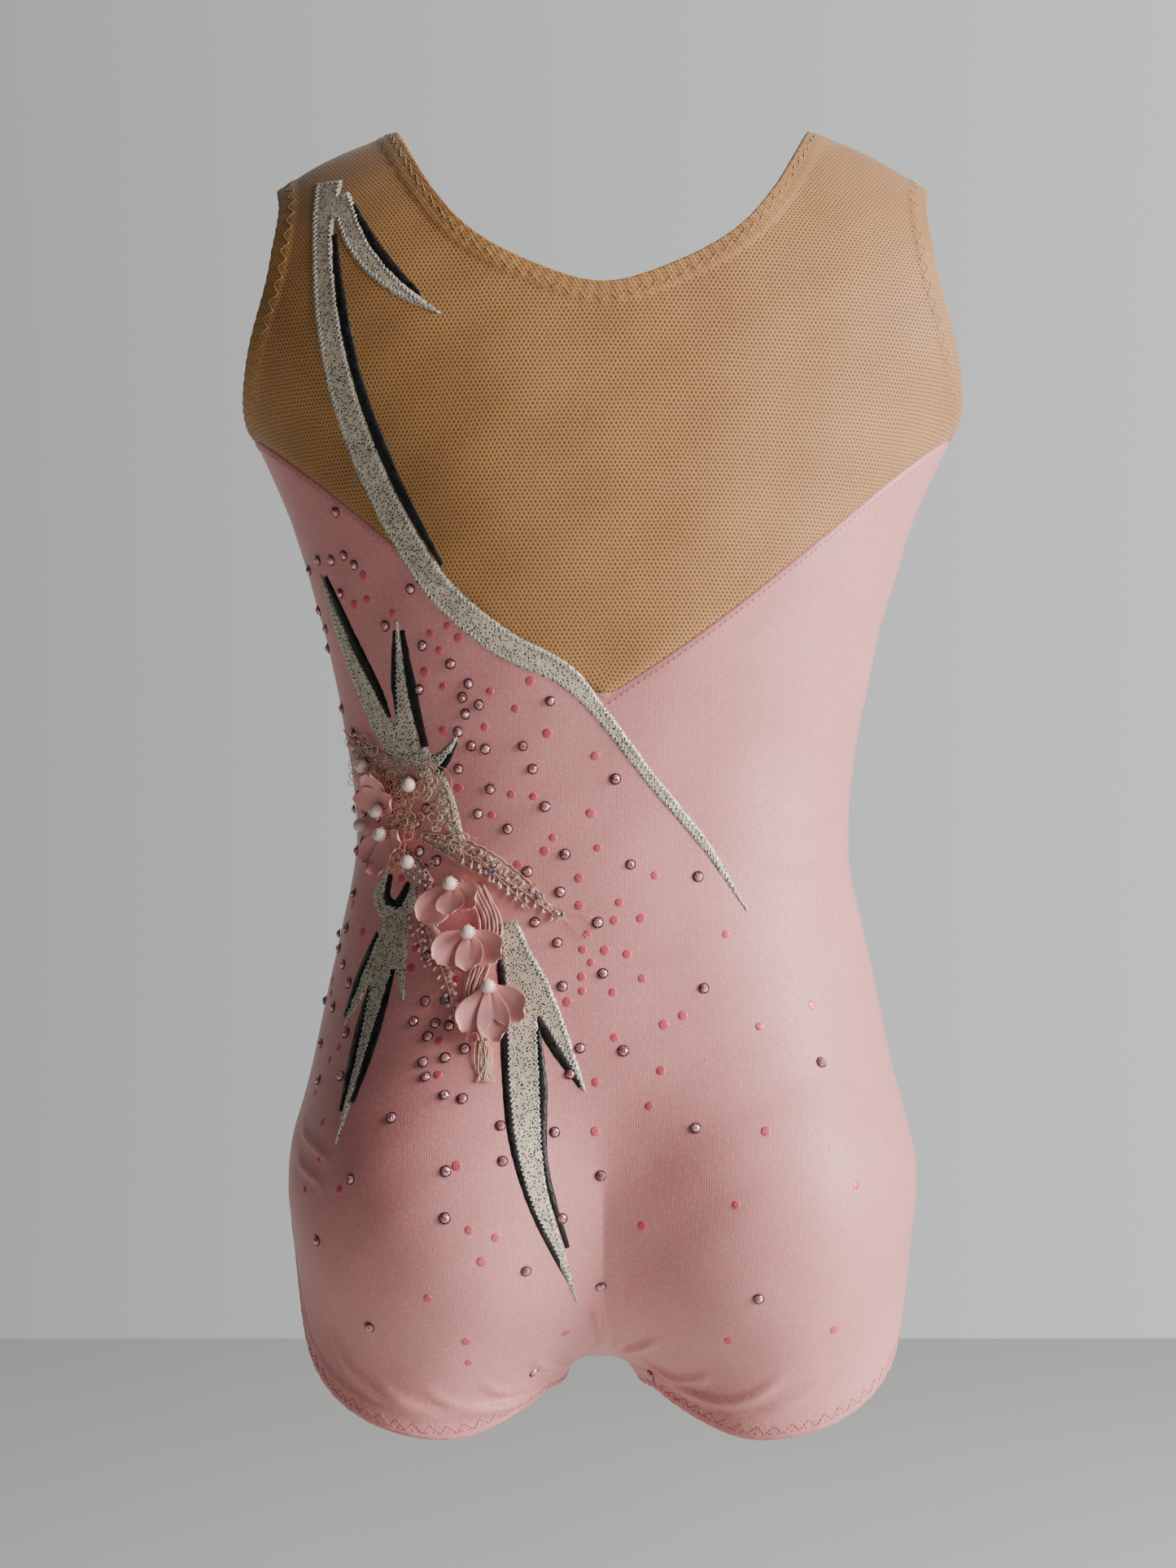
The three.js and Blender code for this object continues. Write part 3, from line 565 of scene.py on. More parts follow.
class Build:
    """Collects points and faces for one mesh."""

    def __init__(self):
        self.points = []
        self.faces = []
        self.count = 0

    def add(self, points, *parts):
        """Adds a closed solid, turned so that its faces look out."""
        parts = [np.asarray(faces) for faces in parts]
        if sum(tri_volume(points, faces) for faces in parts) < 0:
            parts = [faces[:, ::-1] for faces in parts]
        self.points.append(np.asarray(points, float))
        for faces in parts:
            self.faces.extend((faces + self.count).tolist())
        self.count += len(points)

    def piece(self, name, material, body="leotard", *, slot, nodes=(), smooth_faces=True):
        """Makes the mesh; a piece with CAD nodes to replace is named after them."""
        name = name + "_sewn" if nodes else name
        mesh = bpy.data.meshes.new(name)
        mesh.from_pydata((np.vstack(self.points) * MM).tolist(), [], self.faces)
        mesh.polygons.foreach_set("use_smooth", [smooth_faces] * len(mesh.polygons))
        mesh.update()
        mesh.materials.append(material)
        made = bpy.data.objects.new(name, mesh)
        bpy.context.scene.collection.objects.link(made)
        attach(made, body)
        if nodes:
            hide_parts(*nodes)
        return made


UV_UNIT = 100


def add_attribute(made, name, values):
    layer = made.data.attributes.new(name, "FLOAT", "POINT")
    layer.data.foreach_set("value", np.asarray(values, float))


def add_uv(made, uv):
    """uv is one pair for each point, in millimetres of cloth; it is kept in units of UV_UNIT."""
    layer = made.data.uv_layers.new(name="cloth")
    corners = np.zeros(len(made.data.loops), int)
    made.data.loops.foreach_get("vertex_index", corners)
    layer.data.foreach_set("uv", (uv[corners] * MM * 10).ravel())


# The girth is measured on level sections, down to the lowest that is one closed round.
LOWEST_SECTION = -490
SECTION_REACH = 230
SECTION_RAYS = 17
SECTION_HALVINGS = 16
# Over the shoulders the knit runs on from back to front.
SHOULDER_DEPTH = 70
SHOULDER_FADE = (-80, 60)


def cloth_uv(net, every=4):
    """Girth from the middle line, and height, so that the knit's courses lie level."""
    coarse = net[::every, ::every]
    x, y, z = coarse[..., 0], coarse[..., 1], np.maximum(coarse[..., 2], LOWEST_SECTION)
    facing = 1 if y.mean() > 0 else -1
    turn = np.arctan2(x, y * facing)
    girth = np.zeros(x.shape)
    before = None
    for t in np.linspace(0, 1, SECTION_RAYS):
        way = np.stack([np.sin(turn * t), facing * np.cos(turn * t), 0 * z], -1)
        low, high = np.zeros(x.shape), np.full(x.shape, SECTION_REACH, float)
        for _ in range(SECTION_HALVINGS):
            middle = (low + high) / 2
            at = way * middle[..., None]
            at[..., 2] = z
            outside = skin(at) > 0
            high = np.where(outside, middle, high)
            low = np.where(outside, low, middle)
        here = way * low[..., None]
        if before is not None:
            girth += np.linalg.norm(here - before, axis=-1)
        before = here
    near_top = smooth((coarse[..., 2] - SHOULDER_FADE[0]) / SHOULDER_FADE[1])
    over = np.maximum(0, SHOULDER_DEPTH - np.abs(coarse[..., 1])) * near_top
    down = -coarse[..., 2] - 0.5 * over
    return enlarge(np.stack([girth * np.sign(x), down], -1), every).reshape(-1, 2)


def add_tube(build, points, radius, sides, up):
    """A closed round tube through the points; up is a direction across it at each of them."""
    points = np.asarray(points, float)
    ahead = unit(np.gradient(points, axis=0))
    side = unit(np.cross(ahead, up))
    top = np.cross(side, ahead)
    turn = np.arange(sides) * 2 * math.pi / sides
    radius = np.broadcast_to(np.asarray(radius, float), (len(points),))
    ring = (np.cos(turn)[None, :, None] * side[:, None]
            + np.sin(turn)[None, :, None] * top[:, None])
    cloud = (points[:, None] + ring * radius[:, None, None]).reshape(-1, 3)
    index = np.arange(len(points) * sides).reshape(len(points), sides)
    following = np.roll(index, -1, axis=1)
    faces = np.stack([index[:-1], following[:-1], following[1:], index[1:]], -1).reshape(-1, 4)
    count = len(cloud)
    cloud = np.vstack([cloud, points[:1], points[-1:]])
    start = np.stack([np.full(sides, count), following[0], index[0], index[0]], 1)
    end = np.stack([np.full(sides, count + 1), index[-1], following[-1], following[-1]], 1)
    build.add(cloud, faces, np.vstack([start, end])[:, :3])


# ------------------------------------------------------------------ materials

def linear(red, green, blue):
    """A colour given as 0 to 255 display values."""
    def channel(v):
        v /= 255
        return v / 12.92 if v <= 0.04045 else ((v + 0.055) / 1.055) ** 2.4
    return (channel(red), channel(green), channel(blue), 1)


class Graph:
    """A material and short ways to wire its nodes."""

    def __init__(self, name, **sockets):
        self.material = bpy.data.materials.new(name)
        self.material.use_nodes = True
        self.tree = self.material.node_tree
        self.shader = self.tree.nodes["Principled BSDF"]
        for key, value in sockets.items():
            self.shader.inputs[key.replace("_", " ")].default_value = value

    def put(self, socket, value):
        if isinstance(value, bpy.types.NodeSocket):
            self.tree.links.new(value, socket)
        else:
            socket.default_value = value

    def set(self, name, value):
        self.put(self.shader.inputs[name], value)

    def math(self, operation, a, b=0.0, clamp=False):
        node = self.tree.nodes.new("ShaderNodeMath")
        node.operation = operation
        node.use_clamp = clamp
        self.put(node.inputs[0], a)
        self.put(node.inputs[1], b)
        return node.outputs[0]

    def vector(self, operation, a, b=(0, 0, 0), scale=None):
        node = self.tree.nodes.new("ShaderNodeVectorMath")
        node.operation = operation
        self.put(node.inputs[0], a)
        if scale is None:
            self.put(node.inputs[1], b)
        else:
            self.put(node.inputs["Scale"], scale)
        return node.outputs["Value" if operation == "LENGTH" else "Vector"]

    def mix(self, amount, a, b):
        node = self.tree.nodes.new("ShaderNodeMix")
        node.data_type = "RGBA"
        self.put(node.inputs[0], amount)
        self.put(node.inputs[6], a)
        self.put(node.inputs[7], b)
        return node.outputs[2]

    def range(self, value, low, high, to_low=0.0, to_high=1.0):
        node = self.tree.nodes.new("ShaderNodeMapRange")
        node.interpolation_type = "SMOOTHSTEP"
        for i, v in enumerate((value, low, high, to_low, to_high)):
            self.put(node.inputs[i], v)
        return node.outputs[0]

    def place(self, kind="Object"):
        """Object places in metres, or the cloth's own lengths in units of 100 mm."""
        return self.tree.nodes.new("ShaderNodeTexCoord").outputs[kind]

    def noise(self, where, scale, detail=2.0, output=0):
        node = self.tree.nodes.new("ShaderNodeTexNoise")
        self.put(node.inputs["Vector"], where)
        node.inputs["Scale"].default_value = scale
        node.inputs["Detail"].default_value = detail
        return node.outputs[output]

    def cells(self, where, scale, feature="F1", output="Color"):
        node = self.tree.nodes.new("ShaderNodeTexVoronoi")
        node.feature = feature
        self.put(node.inputs["Vector"], where)
        node.inputs["Scale"].default_value = scale
        return node.outputs[output]

    def attribute(self, name):
        node = self.tree.nodes.new("ShaderNodeAttribute")
        node.attribute_name = name
        return node.outputs["Fac"]

    def bump(self, height, strength, distance_mm):
        node = self.tree.nodes.new("ShaderNodeBump")
        node.inputs["Strength"].default_value = strength
        node.inputs["Distance"].default_value = distance_mm * MM
        self.put(node.inputs["Height"], height)
        self.put(self.shader.inputs["Normal"], node.outputs[0])

    def split(self, vector):
        node = self.tree.nodes.new("ShaderNodeSeparateXYZ")
        self.put(node.inputs[0], vector)
        return node.outputs

    def lattice(self, where, pitch, shift=(0, 0, 0)):
        """Distance, in pitches, to the nearest point of a honeycomb lattice on the cloth."""
        scaled = self.vector("MULTIPLY", where, (1 / pitch, 1 / (pitch * math.sqrt(3)), 0))
        distances = []
        for offset in ((0, 0, 0), (0.5, 0.5, 0)):
            moved = self.vector("ADD", scaled, tuple(a + b for a, b in zip(offset, shift)))
            fraction = self.vector("FRACTION", moved)
            centred = self.vector("SUBTRACT", fraction, (0.5, 0.5, 0))
            stretched = self.vector("MULTIPLY", centred, (1, math.sqrt(3), 0))
            distances.append(self.vector("LENGTH", stretched))
        return self.math("MINIMUM", *distances)


MESH_PITCH = 1.75


def tan_mesh_material():
    """Power mesh: a tan knit with a honeycomb of small holes, doubled at the hems; the holes are
    painted dark brown, as painted shade seen through them.
    """
    g = Graph("tan_mesh", Roughness=0.62, Sheen_Weight=0.25, Sheen_Roughness=0.4)
    uv = g.place("UV")
    drift = g.vector("SCALE", g.noise(uv, 9, 2, 1), scale=0.012)
    where = g.vector("ADD", uv, drift)
    hole = g.range(g.lattice(where, MESH_PITCH / UV_UNIT), 0.17, 0.33, 1, 0)
    second = g.range(g.lattice(where, MESH_PITCH / UV_UNIT, (0.27, 0.13, 0)), 0.14, 0.28, 1, 0)
    folded = g.range(g.attribute("hem"), HEM_WIDTH - 0.6, HEM_WIDTH + 0.2, 1, 0)
    one_layer = g.math("MULTIPLY", hole, g.math("SUBTRACT", 1, folded))
    both_layers = g.math("MULTIPLY", g.math("MAXIMUM", hole, second),
                         g.math("MULTIPLY", folded, 0.55))
    dark = g.math("ADD", one_layer, both_layers)
    uneven = g.noise(g.place(), 38, 3)
    yarn = g.mix(uneven, linear(206, 142, 62), linear(174, 112, 44))
    fuzz = g.cells(uv, 420)
    yarn = g.mix(0.1, yarn, fuzz)
    # Painted shade: the holes are darkened towards brown, as if shadow showed through them.
    g.set("Base Color", g.mix(g.math("MULTIPLY", dark, 0.82), yarn, linear(84, 54, 30)))
    g.bump(g.math("SUBTRACT", 1, dark), 0.65, 0.35)
    return g.material


def spandex_material(name, light, deep, painted_sparkle):
    """Satin spandex: fine knit ribs, a silky sheen, and tiny glints and dark specks painted into
    its colour.
    """
    g = Graph(name, Roughness=0.5, Sheen_Weight=0.35, Sheen_Roughness=0.35)
    g.shader.inputs["Sheen Tint"].default_value = linear(255, 226, 222)
    g.shader.inputs["Specular IOR Level"].default_value = 0.62
    uv = g.place("UV")
    tone = g.mix(g.noise(g.place(), 30, 3), light, deep)
    speck = g.cells(uv, 240, output="Color")
    # Painted highlight and shade: small random cells lighten to near-white glints or darken to dark
    # specks in the colour.
    glint = g.range(g.split(speck)[0], 0.72, 0.95)
    tone = g.mix(g.math("MULTIPLY", glint, painted_sparkle), tone, linear(255, 244, 240))
    shade = g.range(g.split(speck)[1], 0.1, 0.5, 1, 0)
    g.set("Base Color", g.mix(g.math("MULTIPLY", shade, painted_sparkle * 0.75), tone,
                              linear(150, 104, 104)))
    g.set("Roughness", g.range(g.split(speck)[2], 0.0, 1.0, 0.36, 0.6))
    ribs = g.tree.nodes.new("ShaderNodeTexWave")
    g.put(ribs.inputs["Vector"], uv)
    ribs.inputs["Scale"].default_value = 32
    ribs.inputs["Distortion"].default_value = 1.2
    g.bump(g.math("ADD", g.math("MULTIPLY", ribs.outputs["Fac"], 0.5), g.split(speck)[2]),
           0.35, 0.16)
    return g.material


def foil_material(name, light, deep, holes, metal, rough):
    """Foil-printed mesh: a thin metal sheen pricked with small dark holes."""
    g = Graph(name, Metallic=metal)
    where = g.place()
    crumple = g.noise(where, 260, 5)
    tone = g.mix(g.range(crumple, 0.25, 0.75), deep, light)
    prick = g.cells(where, 1000, output="Distance")
    hole = g.range(prick, 0.29, 0.42, 1, 0)
    g.set("Base Color", g.mix(g.math("MULTIPLY", hole, holes), tone, linear(24, 20, 20)))
    g.set("Roughness", g.range(g.noise(where, 900, 3), 0.3, 0.7, rough, rough + 0.25))
    g.bump(g.math("SUBTRACT", g.math("MULTIPLY", crumple, 0.4), hole), 0.6, 0.35)
    return g.material


def thread_material(name, light, deep, metal=0.0, rough=0.5):
    """Twisted thread: fine slanting plies in two tones."""
    g = Graph(name, Metallic=metal, Roughness=rough, Sheen_Weight=0.2)
    twist = g.tree.nodes.new("ShaderNodeTexWave")
    twist.bands_direction = "DIAGONAL"
    g.put(twist.inputs["Vector"], g.place())
    twist.inputs["Scale"].default_value = 900
    twist.inputs["Distortion"].default_value = 2
    g.set("Base Color", g.mix(twist.outputs["Fac"], deep, light))
    g.bump(twist.outputs["Fac"], 0.4, 0.08)
    return g.material


def lace_material(name, light, deep, alpha):
    """Fine net with thicker figured threads running through it."""
    g = Graph(name, Roughness=0.6, Sheen_Weight=0.3, Alpha=alpha)
    where = g.place()
    net = g.cells(where, 1100, "DISTANCE_TO_EDGE", "Distance")
    cord = g.range(net, 0.04, 0.2, 1, 0)
    figure = g.range(g.noise(where, 420, 3), 0.48, 0.6)
    g.set("Base Color", g.mix(g.math("MAXIMUM", cord, figure), deep, light))
    g.bump(g.math("MAXIMUM", cord, figure), 0.9, 0.4)
    return g.material


def chiffon_material():
    """Sheer crepe petals, deeper where they are doubled and browned at the sealed edge."""
    g = Graph("chiffon", Roughness=0.48, Alpha=0.9, Sheen_Weight=0.5, Sheen_Roughness=0.3,
              Subsurface_Weight=0.12)
    g.shader.inputs["Sheen Tint"].default_value = linear(255, 220, 214)
    g.shader.inputs["Subsurface Radius"].default_value = (0.002, 0.001, 0.001)
    edge_amount = g.attribute("rim")
    tone = g.mix(g.noise(g.place(), 260, 3), linear(255, 178, 177), linear(250, 154, 156))
    weave = g.noise(g.place(), 2600, 2)
    tone = g.mix(g.math("MULTIPLY", weave, 0.35), tone, linear(255, 222, 216))
    g.set("Base Color", g.mix(g.math("MULTIPLY", edge_amount, 0.35), tone, linear(222, 140, 134)))
    g.bump(weave, 0.35, 0.12)
    return g.material


def pearl_material():
    g = Graph("pearl", Roughness=0.22, Coat_Weight=0.8, Coat_Roughness=0.08,
              Subsurface_Weight=0.15)
    g.shader.inputs["Subsurface Radius"].default_value = (0.001, 0.001, 0.001)
    facing = g.tree.nodes.new("ShaderNodeLayerWeight")
    facing.inputs["Blend"].default_value = 0.35
    cloud = g.noise(g.place(), 420, 3)
    body = g.mix(cloud, linear(255, 230, 222), linear(240, 208, 200))
    # Painted rim shade: the pearl turns a deeper pink towards its outline, where it is seen
    # edge-on.
    g.set("Base Color", g.mix(facing.outputs["Facing"], body, linear(222, 172, 168)))
    g.bump(g.noise(g.place(), 1600, 2), 0.12, 0.06)
    return g.material


def glass_material(name, light, deep, metal=0.55):
    """Foil-backed glass, the light on its facets painted into the colour: small random patches
    bright, some dark.
    """
    g = Graph(name, Roughness=0.08, Metallic=metal, Coat_Weight=1.0, Coat_Roughness=0.03)
    # Painted reflection: random small patches between the light and deep colours stand in for lit
    # and shaded facets.
    random = g.cells(g.place(), 700)
    g.set("Base Color", g.mix(g.split(random)[0], light, deep))
    g.bump(g.split(random)[1], 0.15, 0.1)
    return g.material


def glitter_material(name, light, deep):
    g = Graph(name, Metallic=0.35)
    grain = g.cells(g.place(), 2600)
    g.set("Base Color", g.mix(g.split(grain)[0], deep, light))
    g.set("Roughness", g.range(g.split(grain)[1], 0, 1, 0.25, 0.6))
    g.bump(g.split(grain)[2], 0.5, 0.15)
    return g.material


TAN = tan_mesh_material()
PINK = spandex_material("pink_spandex", linear(236, 154, 152), linear(224, 138, 138), 0.2)
LINING_CLOTH = spandex_material("lining", linear(232, 210, 196), linear(214, 190, 176), 0.08)
ELASTIC_CLOTH = thread_material("elastic", linear(236, 228, 216), linear(206, 196, 182), 0, 0.7)
SILVER = foil_material("silver_foil", linear(238, 222, 200), linear(206, 190, 168), 0.95, 0.3,
                       0.36)
BLACK = foil_material("black_foil", linear(44, 38, 40), linear(16, 14, 16), 0.4, 0.35, 0.35)
LACE_GOLD = lace_material("lace", linear(246, 212, 190), linear(204, 158, 138), 0.85)
LACE_MAUVE = lace_material("mauve_net", linear(240, 190, 184), linear(196, 138, 134), 0.7)
CHIFFON = chiffon_material()
PEARL = pearl_material()
PINK_GLASS = glass_material("pink_glass", linear(250, 190, 198), linear(170, 84, 100), 0.4)
DARK_BEAD = glass_material("dark_bead", linear(160, 118, 122), linear(92, 62, 70))
SEED_BEAD = glass_material("seed_bead", linear(240, 204, 198), linear(206, 156, 150), 0.15)
SEQUIN = glass_material("blue_sequin", linear(214, 186, 200), linear(150, 124, 146), 0.6)
RIM_METAL = foil_material("stone_rim", linear(120, 92, 90), linear(72, 52, 52), 0.2, 0.85, 0.25)
GLITTER = glitter_material("glitter_dot", linear(240, 118, 134), linear(222, 88, 106))
SILVER_THREAD = thread_material("silver_thread", linear(250, 248, 244), linear(190, 184, 180), 0.35,
                                0.32)
TAN_THREAD = thread_material("tan_thread", linear(214, 178, 134), linear(172, 136, 94))
PINK_THREAD = thread_material("pink_thread", linear(232, 150, 152), linear(196, 110, 114))
GOLD_THREAD = thread_material("gold_thread", linear(248, 218, 194), linear(214, 172, 148), 0.1,
                              0.45)
ROSE_THREAD = thread_material("rose_thread", linear(238, 186, 178), linear(200, 142, 136))


# ------------------------------------------------------------------ the four panels

def make_panel(name, cloth, material, slot):
    """A panel of stretch cloth as worn: a closed solid between its two faces, with its hem
    distances and cloth UVs.
    """
    build = Build()
    build.add(*shell(cloth.outer, cloth.inner))
    made = build.piece(name, material, slot=slot, nodes=[name])
    add_attribute(made, "hem", np.tile(cloth.hem.ravel(), 2))
    add_uv(made, np.tile(cloth_uv(cloth.net), (2, 1)))


make_panel("back_yoke", back_yoke, TAN, "tan_mesh")
make_panel("front_yoke", front_yoke, TAN, "tan_mesh")
make_panel("back_panel", back_panel, PINK, "pink_spandex")
make_panel("front_panel", front_panel, PINK, "pink_spandex")


BACK_SIDE = Surface([back_yoke.outer, back_panel.outer])
ALL_ROUND = Surface([back_yoke.outer, back_panel.outer, front_yoke.outer, front_panel.outer])


def on_back(flat):
    """The places on the back for x, z pairs, and the ways out there; pairs off it are left out."""
    base, up = BACK_SIDE.at(flat)
    good = ~np.isnan(base[:, 0])
    return base[good], up[good]


# ------------------------------------------------------------------ hems, elastics and lining

def ring(back_part, front_part):
    """A closed line round an opening, out of two open lines that share their ends."""
    end = back_part[-1]
    if np.linalg.norm(end - front_part[0]) > np.linalg.norm(end - front_part[-1]):
        front_part = front_part[::-1]
    return np.vstack([back_part, front_part[1:-1]])


def smooth_ring(line, passes):
    for _ in range(passes):
        line = line * 0.5 + (np.roll(line, 1, 0) + np.roll(line, -1, 0)) * 0.25
    return line


def opening(part, back_net, front_net):
    """An opening's edge, and the line a little way into the cloth from it."""
    return tuple(ring(part(back_net, k), part(front_net, k)) for k in (0, FINER))


def neck_row(net, k):
    shoulder = SHOULDER_COLUMNS * FINER
    row = net[k][shoulder:-shoulder].copy()
    row[0], row[-1] = net[0][shoulder - k], net[0][-shoulder - 1 + k]
    return row


def arm_row(side):
    return lambda net, k: net[:, k if side < 0 else -1 - k]


def leg_row(side):
    leg = LEG_COLUMNS * FINER

    def row(net, k):
        whole = net[-1 - k]
        line = (whole[:leg + 1][::-1] if side < 0 else whole[-leg - 1:]).copy()
        line[-1] = net[-1 - k, 0 if side < 0 else -1]
        return line

    return row


OPENINGS = {
    "neck": opening(neck_row, back_yoke_net, front_yoke_net),
    "left_arm": opening(arm_row(-1), back_yoke_net, front_yoke_net),
    "right_arm": opening(arm_row(1), back_yoke_net, front_yoke_net),
    "left_leg": opening(leg_row(-1), back_body_net, front_body_net),
    "right_leg": opening(leg_row(1), back_body_net, front_body_net),
}


def inward_steps(line, inner, width, count):
    """Points on the body, 0 to width from an opening's edge, towards the cloth."""
    steps = [line]
    across = unit(smooth_ring(unit(inner - line), 3 * FINER))
    for k in range(1, count + 1):
        steps.append(to_skin(line + across * (width * k / count), 3))
    return np.stack(steps)


def add_closed_band(build, rows):
    """A ring whose section is closed too: each row of points goes once round the opening."""
    rows = np.stack(rows)
    count, around = rows.shape[:2]
    index = np.arange(count * around).reshape(count, around)
    down = np.roll(index, -1, 0)
    quads = np.stack([index, down, np.roll(down, -1, 1), np.roll(index, -1, 1)], -1)
    build.add(rows.reshape(-1, 3), quads.reshape(-1, 4))


BAND_EDGE = 0.6
BAND_SQUARENESS = 8


def ring_band(build, steps, near, far):
    """A closed flat ring between two depths behind the cloth's inner face, with round edges."""
    normal = outward(steps)
    middle = (near + far) / 2
    half = (far - near) / 2
    last = len(steps) - 1
    rows = [steps[0] - normal[0] * middle]
    for k in range(last + 1):
        swell = half * BAND_EDGE
        if 0 < k < last:
            swell = half * math.sqrt(max(0.0, 1 - abs(2 * k / last - 1) ** BAND_SQUARENESS))
        rows.append(steps[k] - normal[k] * (middle - swell))
    rows.append(steps[-1] - normal[-1] * middle)
    for k in reversed(range(last + 1)):
        swell = half if 0 < k < last else half * BAND_EDGE
        rows.append(steps[k] - normal[k] * (middle + swell))
    add_closed_band(build, rows)


# How far the turned cloth stands out from an opening's edge, and the steps round its lip.
ROLL = 0.75
ROLL_STEPS = 9


def rolled_edge(build, steps, near, far):
    """The cloth turned round an opening's edge: a half-round lip between two depths."""
    line, normal = steps[0], outward(steps[0])
    away_from_cloth = unit(steps[0] - steps[1])
    middle, half = (near + far) / 2, (far - near) / 2
    add_closed_band(build, [line + away_from_cloth * ROLL * math.sin(angle)
                            - normal * (middle - half * math.cos(angle))
                            for angle in np.linspace(0, math.pi, ROLL_STEPS)])


# A three-step zigzag, from -1 to 1 across the hem.
ZIGZAG = (-1, -1 / 3, 1 / 3, 1, 1 / 3, -1 / 3)
ZIGZAG_PITCH = 1.15
ZIGZAG_SWING = 1.8
# Where the zigzag runs, as a share of the hem's width from the edge.
ZIGZAG_ON_YOKE = 0.72
ZIGZAG_ON_LEG = 0.45
STITCH_RADIUS = 0.2
STITCH_LIFT = 0.12
STITCH_GAP = 0.048
STITCH_ENDS = 0.3
# Depths behind the panel of the elastic's outside, and of the turned hem's two faces under it.
ELASTIC_TOP = 0.25
TURNED_TOP = 0.5 + ELASTIC
TURNED_FOOT = 1.3 + ELASTIC
HEM_STEPS = 6


def sewn_ring(name, line, inner):
    """Elastic, folded hem and the zigzag seen outside, for one opening."""
    yoke_side = "leg" not in name
    steps = inward_steps(line, inner, HEM_WIDTH, HEM_STEPS)
    elastic = Build()
    ring_band(elastic, steps[:-1], ELASTIC_TOP, ELASTIC_TOP + ELASTIC)
    elastic.piece(name + "_elastic", ELASTIC_CLOTH, slot="elastic", nodes=[name + "_elastic"])
    hem = Build()
    ring_band(hem, steps, TURNED_TOP, TURNED_FOOT)
    rolled_edge(hem, steps, -(MESH_CLOTH if yoke_side else SPANDEX), TURNED_FOOT)
    cloth, slot = (TAN, "tan_mesh") if yoke_side else (PINK, "pink_spandex")
    made = hem.piece(name + "_hem", cloth, slot=slot, nodes=[name + "_hem"])
    add_attribute(made, "hem", np.zeros(len(made.data.vertices)))
    add_uv(made, np.array([v.co[:] for v in made.data.vertices])[:, (0, 2)] / MM)

    length = np.linalg.norm(np.diff(line, axis=0, append=line[:1]), axis=1)
    around = np.concatenate([[0], np.cumsum(length)])
    count = int(around[-1] / ZIGZAG_PITCH) // len(ZIGZAG) * len(ZIGZAG)
    middle = ZIGZAG_ON_YOKE if yoke_side else ZIGZAG_ON_LEG

    def corner(i):
        s = i / count * around[-1]
        depth = (middle + ZIGZAG_SWING * ZIGZAG[i % len(ZIGZAG)] / HEM_WIDTH) * HEM_STEPS
        k = min(int(depth), HEM_STEPS - 1)
        t = depth - k
        closed = [np.vstack([steps[j], steps[j][:1]]) for j in (k, k + 1)]
        a, b = (np.array([np.interp(s, around, row[:, axis]) for axis in range(3)])
                for row in closed)
        return a * (1 - t) + b * t

    corners = np.array([corner(i) for i in range(count)])
    corners = ALL_ROUND.snap(corners + outward(corners))
    up = outward(corners)
    thread = Build()
    for i in range(count):
        a, b = corners[i], corners[(i + 1) % count]
        span = b - a
        points = [a + span * STITCH_GAP, a + span * STITCH_ENDS, b - span * STITCH_ENDS,
                  b - span * STITCH_GAP]
        lifts = (-STITCH_LIFT, STITCH_LIFT, STITCH_LIFT, -STITCH_LIFT)
        points = [p + up[i] * lift for p, lift in zip(points, lifts)]
        add_tube(thread, points, STITCH_RADIUS, 5, np.tile(up[i], (4, 1)))
    thread.piece(name + "_zigzag", TAN_THREAD if yoke_side else PINK_THREAD, slot=slot)


for opening_name, (opening_line, opening_inner) in OPENINGS.items():
    sewn_ring(opening_name, opening_line, opening_inner)


DASH_LIFT = 0.08


def dashes(build, line, pitch, share, radius):
    """A row of straight stitches along a line, each covering a share of the pitch."""
    count = int(steps_of(line).sum() / pitch)
    fine = ALL_ROUND.snap(spaced(line, count * 4))
    up = outward(fine)
    for i in range(count):
        chunk = fine[i * 4:i * 4 + 4].copy()
        chunk[3] = chunk[2] + (chunk[3] - chunk[2]) * share
        heights = np.array((-radius, DASH_LIFT, DASH_LIFT, -radius))[:, None]
        add_tube(build, chunk + up[i * 4:i * 4 + 4] * heights, radius, 5, up[i * 4:i * 4 + 4])


# Distance from the edge, then pitch, share and thread radius of each row of straight stitches.
SEAM_ROW = (3.2, (2.8, 0.62, 0.24))
SIDE_ROW = (2.6, (2.6, 0.6, 0.15))
LEG_ROW = (2.6, (2.8, 0.6, 0.24))


def beside(line, inner, distance):
    """The line moved a distance towards another line."""
    return line + unit(inner - line) * distance


seam_thread = Build()
for panel in (back_panel, front_panel):
    net = panel.outer
    dashes(seam_thread, beside(net[0], net[3 * FINER // 2], SEAM_ROW[0]), *SEAM_ROW[1])
for panel in (back_panel, front_panel):
    net = panel.outer
    for column, inner in ((0, 2), (-1, -3)):
        side_row = beside(net[:, column], net[:, inner], SIDE_ROW[0])
        dashes(seam_thread, side_row, *SIDE_ROW[1])
seam_thread.piece("seam_topstitch", PINK_THREAD, slot="pink_spandex")

leg_thread = Build()
for name in ("left_leg", "right_leg"):
    line, inner = OPENINGS[name]
    row = inward_steps(line, inner, LEG_ROW[0], 1)[1]
    dashes(leg_thread, np.vstack([row, row[:1]]), *LEG_ROW[1])
leg_thread.piece("leg_edge_stitch", PINK_THREAD, slot="pink_spandex")

lining_columns = slice((LEG_COLUMNS + 1) * FINER, (COLUMNS - LEG_COLUMNS - 1) * FINER + 1)
LINING_DEPTHS = (0.3, 0.9)
LINING_ROWS = 4 * FINER


def lining_net(net):
    return net[-LINING_ROWS - 1:, lining_columns]


gusset = np.vstack([lining_net(back_body_net), lining_net(front_body_net)[-2::-1]])
gusset_out = outward(gusset)
lining = Build()
lining.add(*shell(gusset - gusset_out * LINING_DEPTHS[0], gusset - gusset_out * LINING_DEPTHS[1]))
made = lining.piece("crotch_lining", LINING_CLOTH, slot="lining", nodes=["crotch_lining"])
add_uv(made, np.tile(cloth_uv(gusset), (2, 1)))


# ------------------------------------------------------------------ trims cut from flat cloth

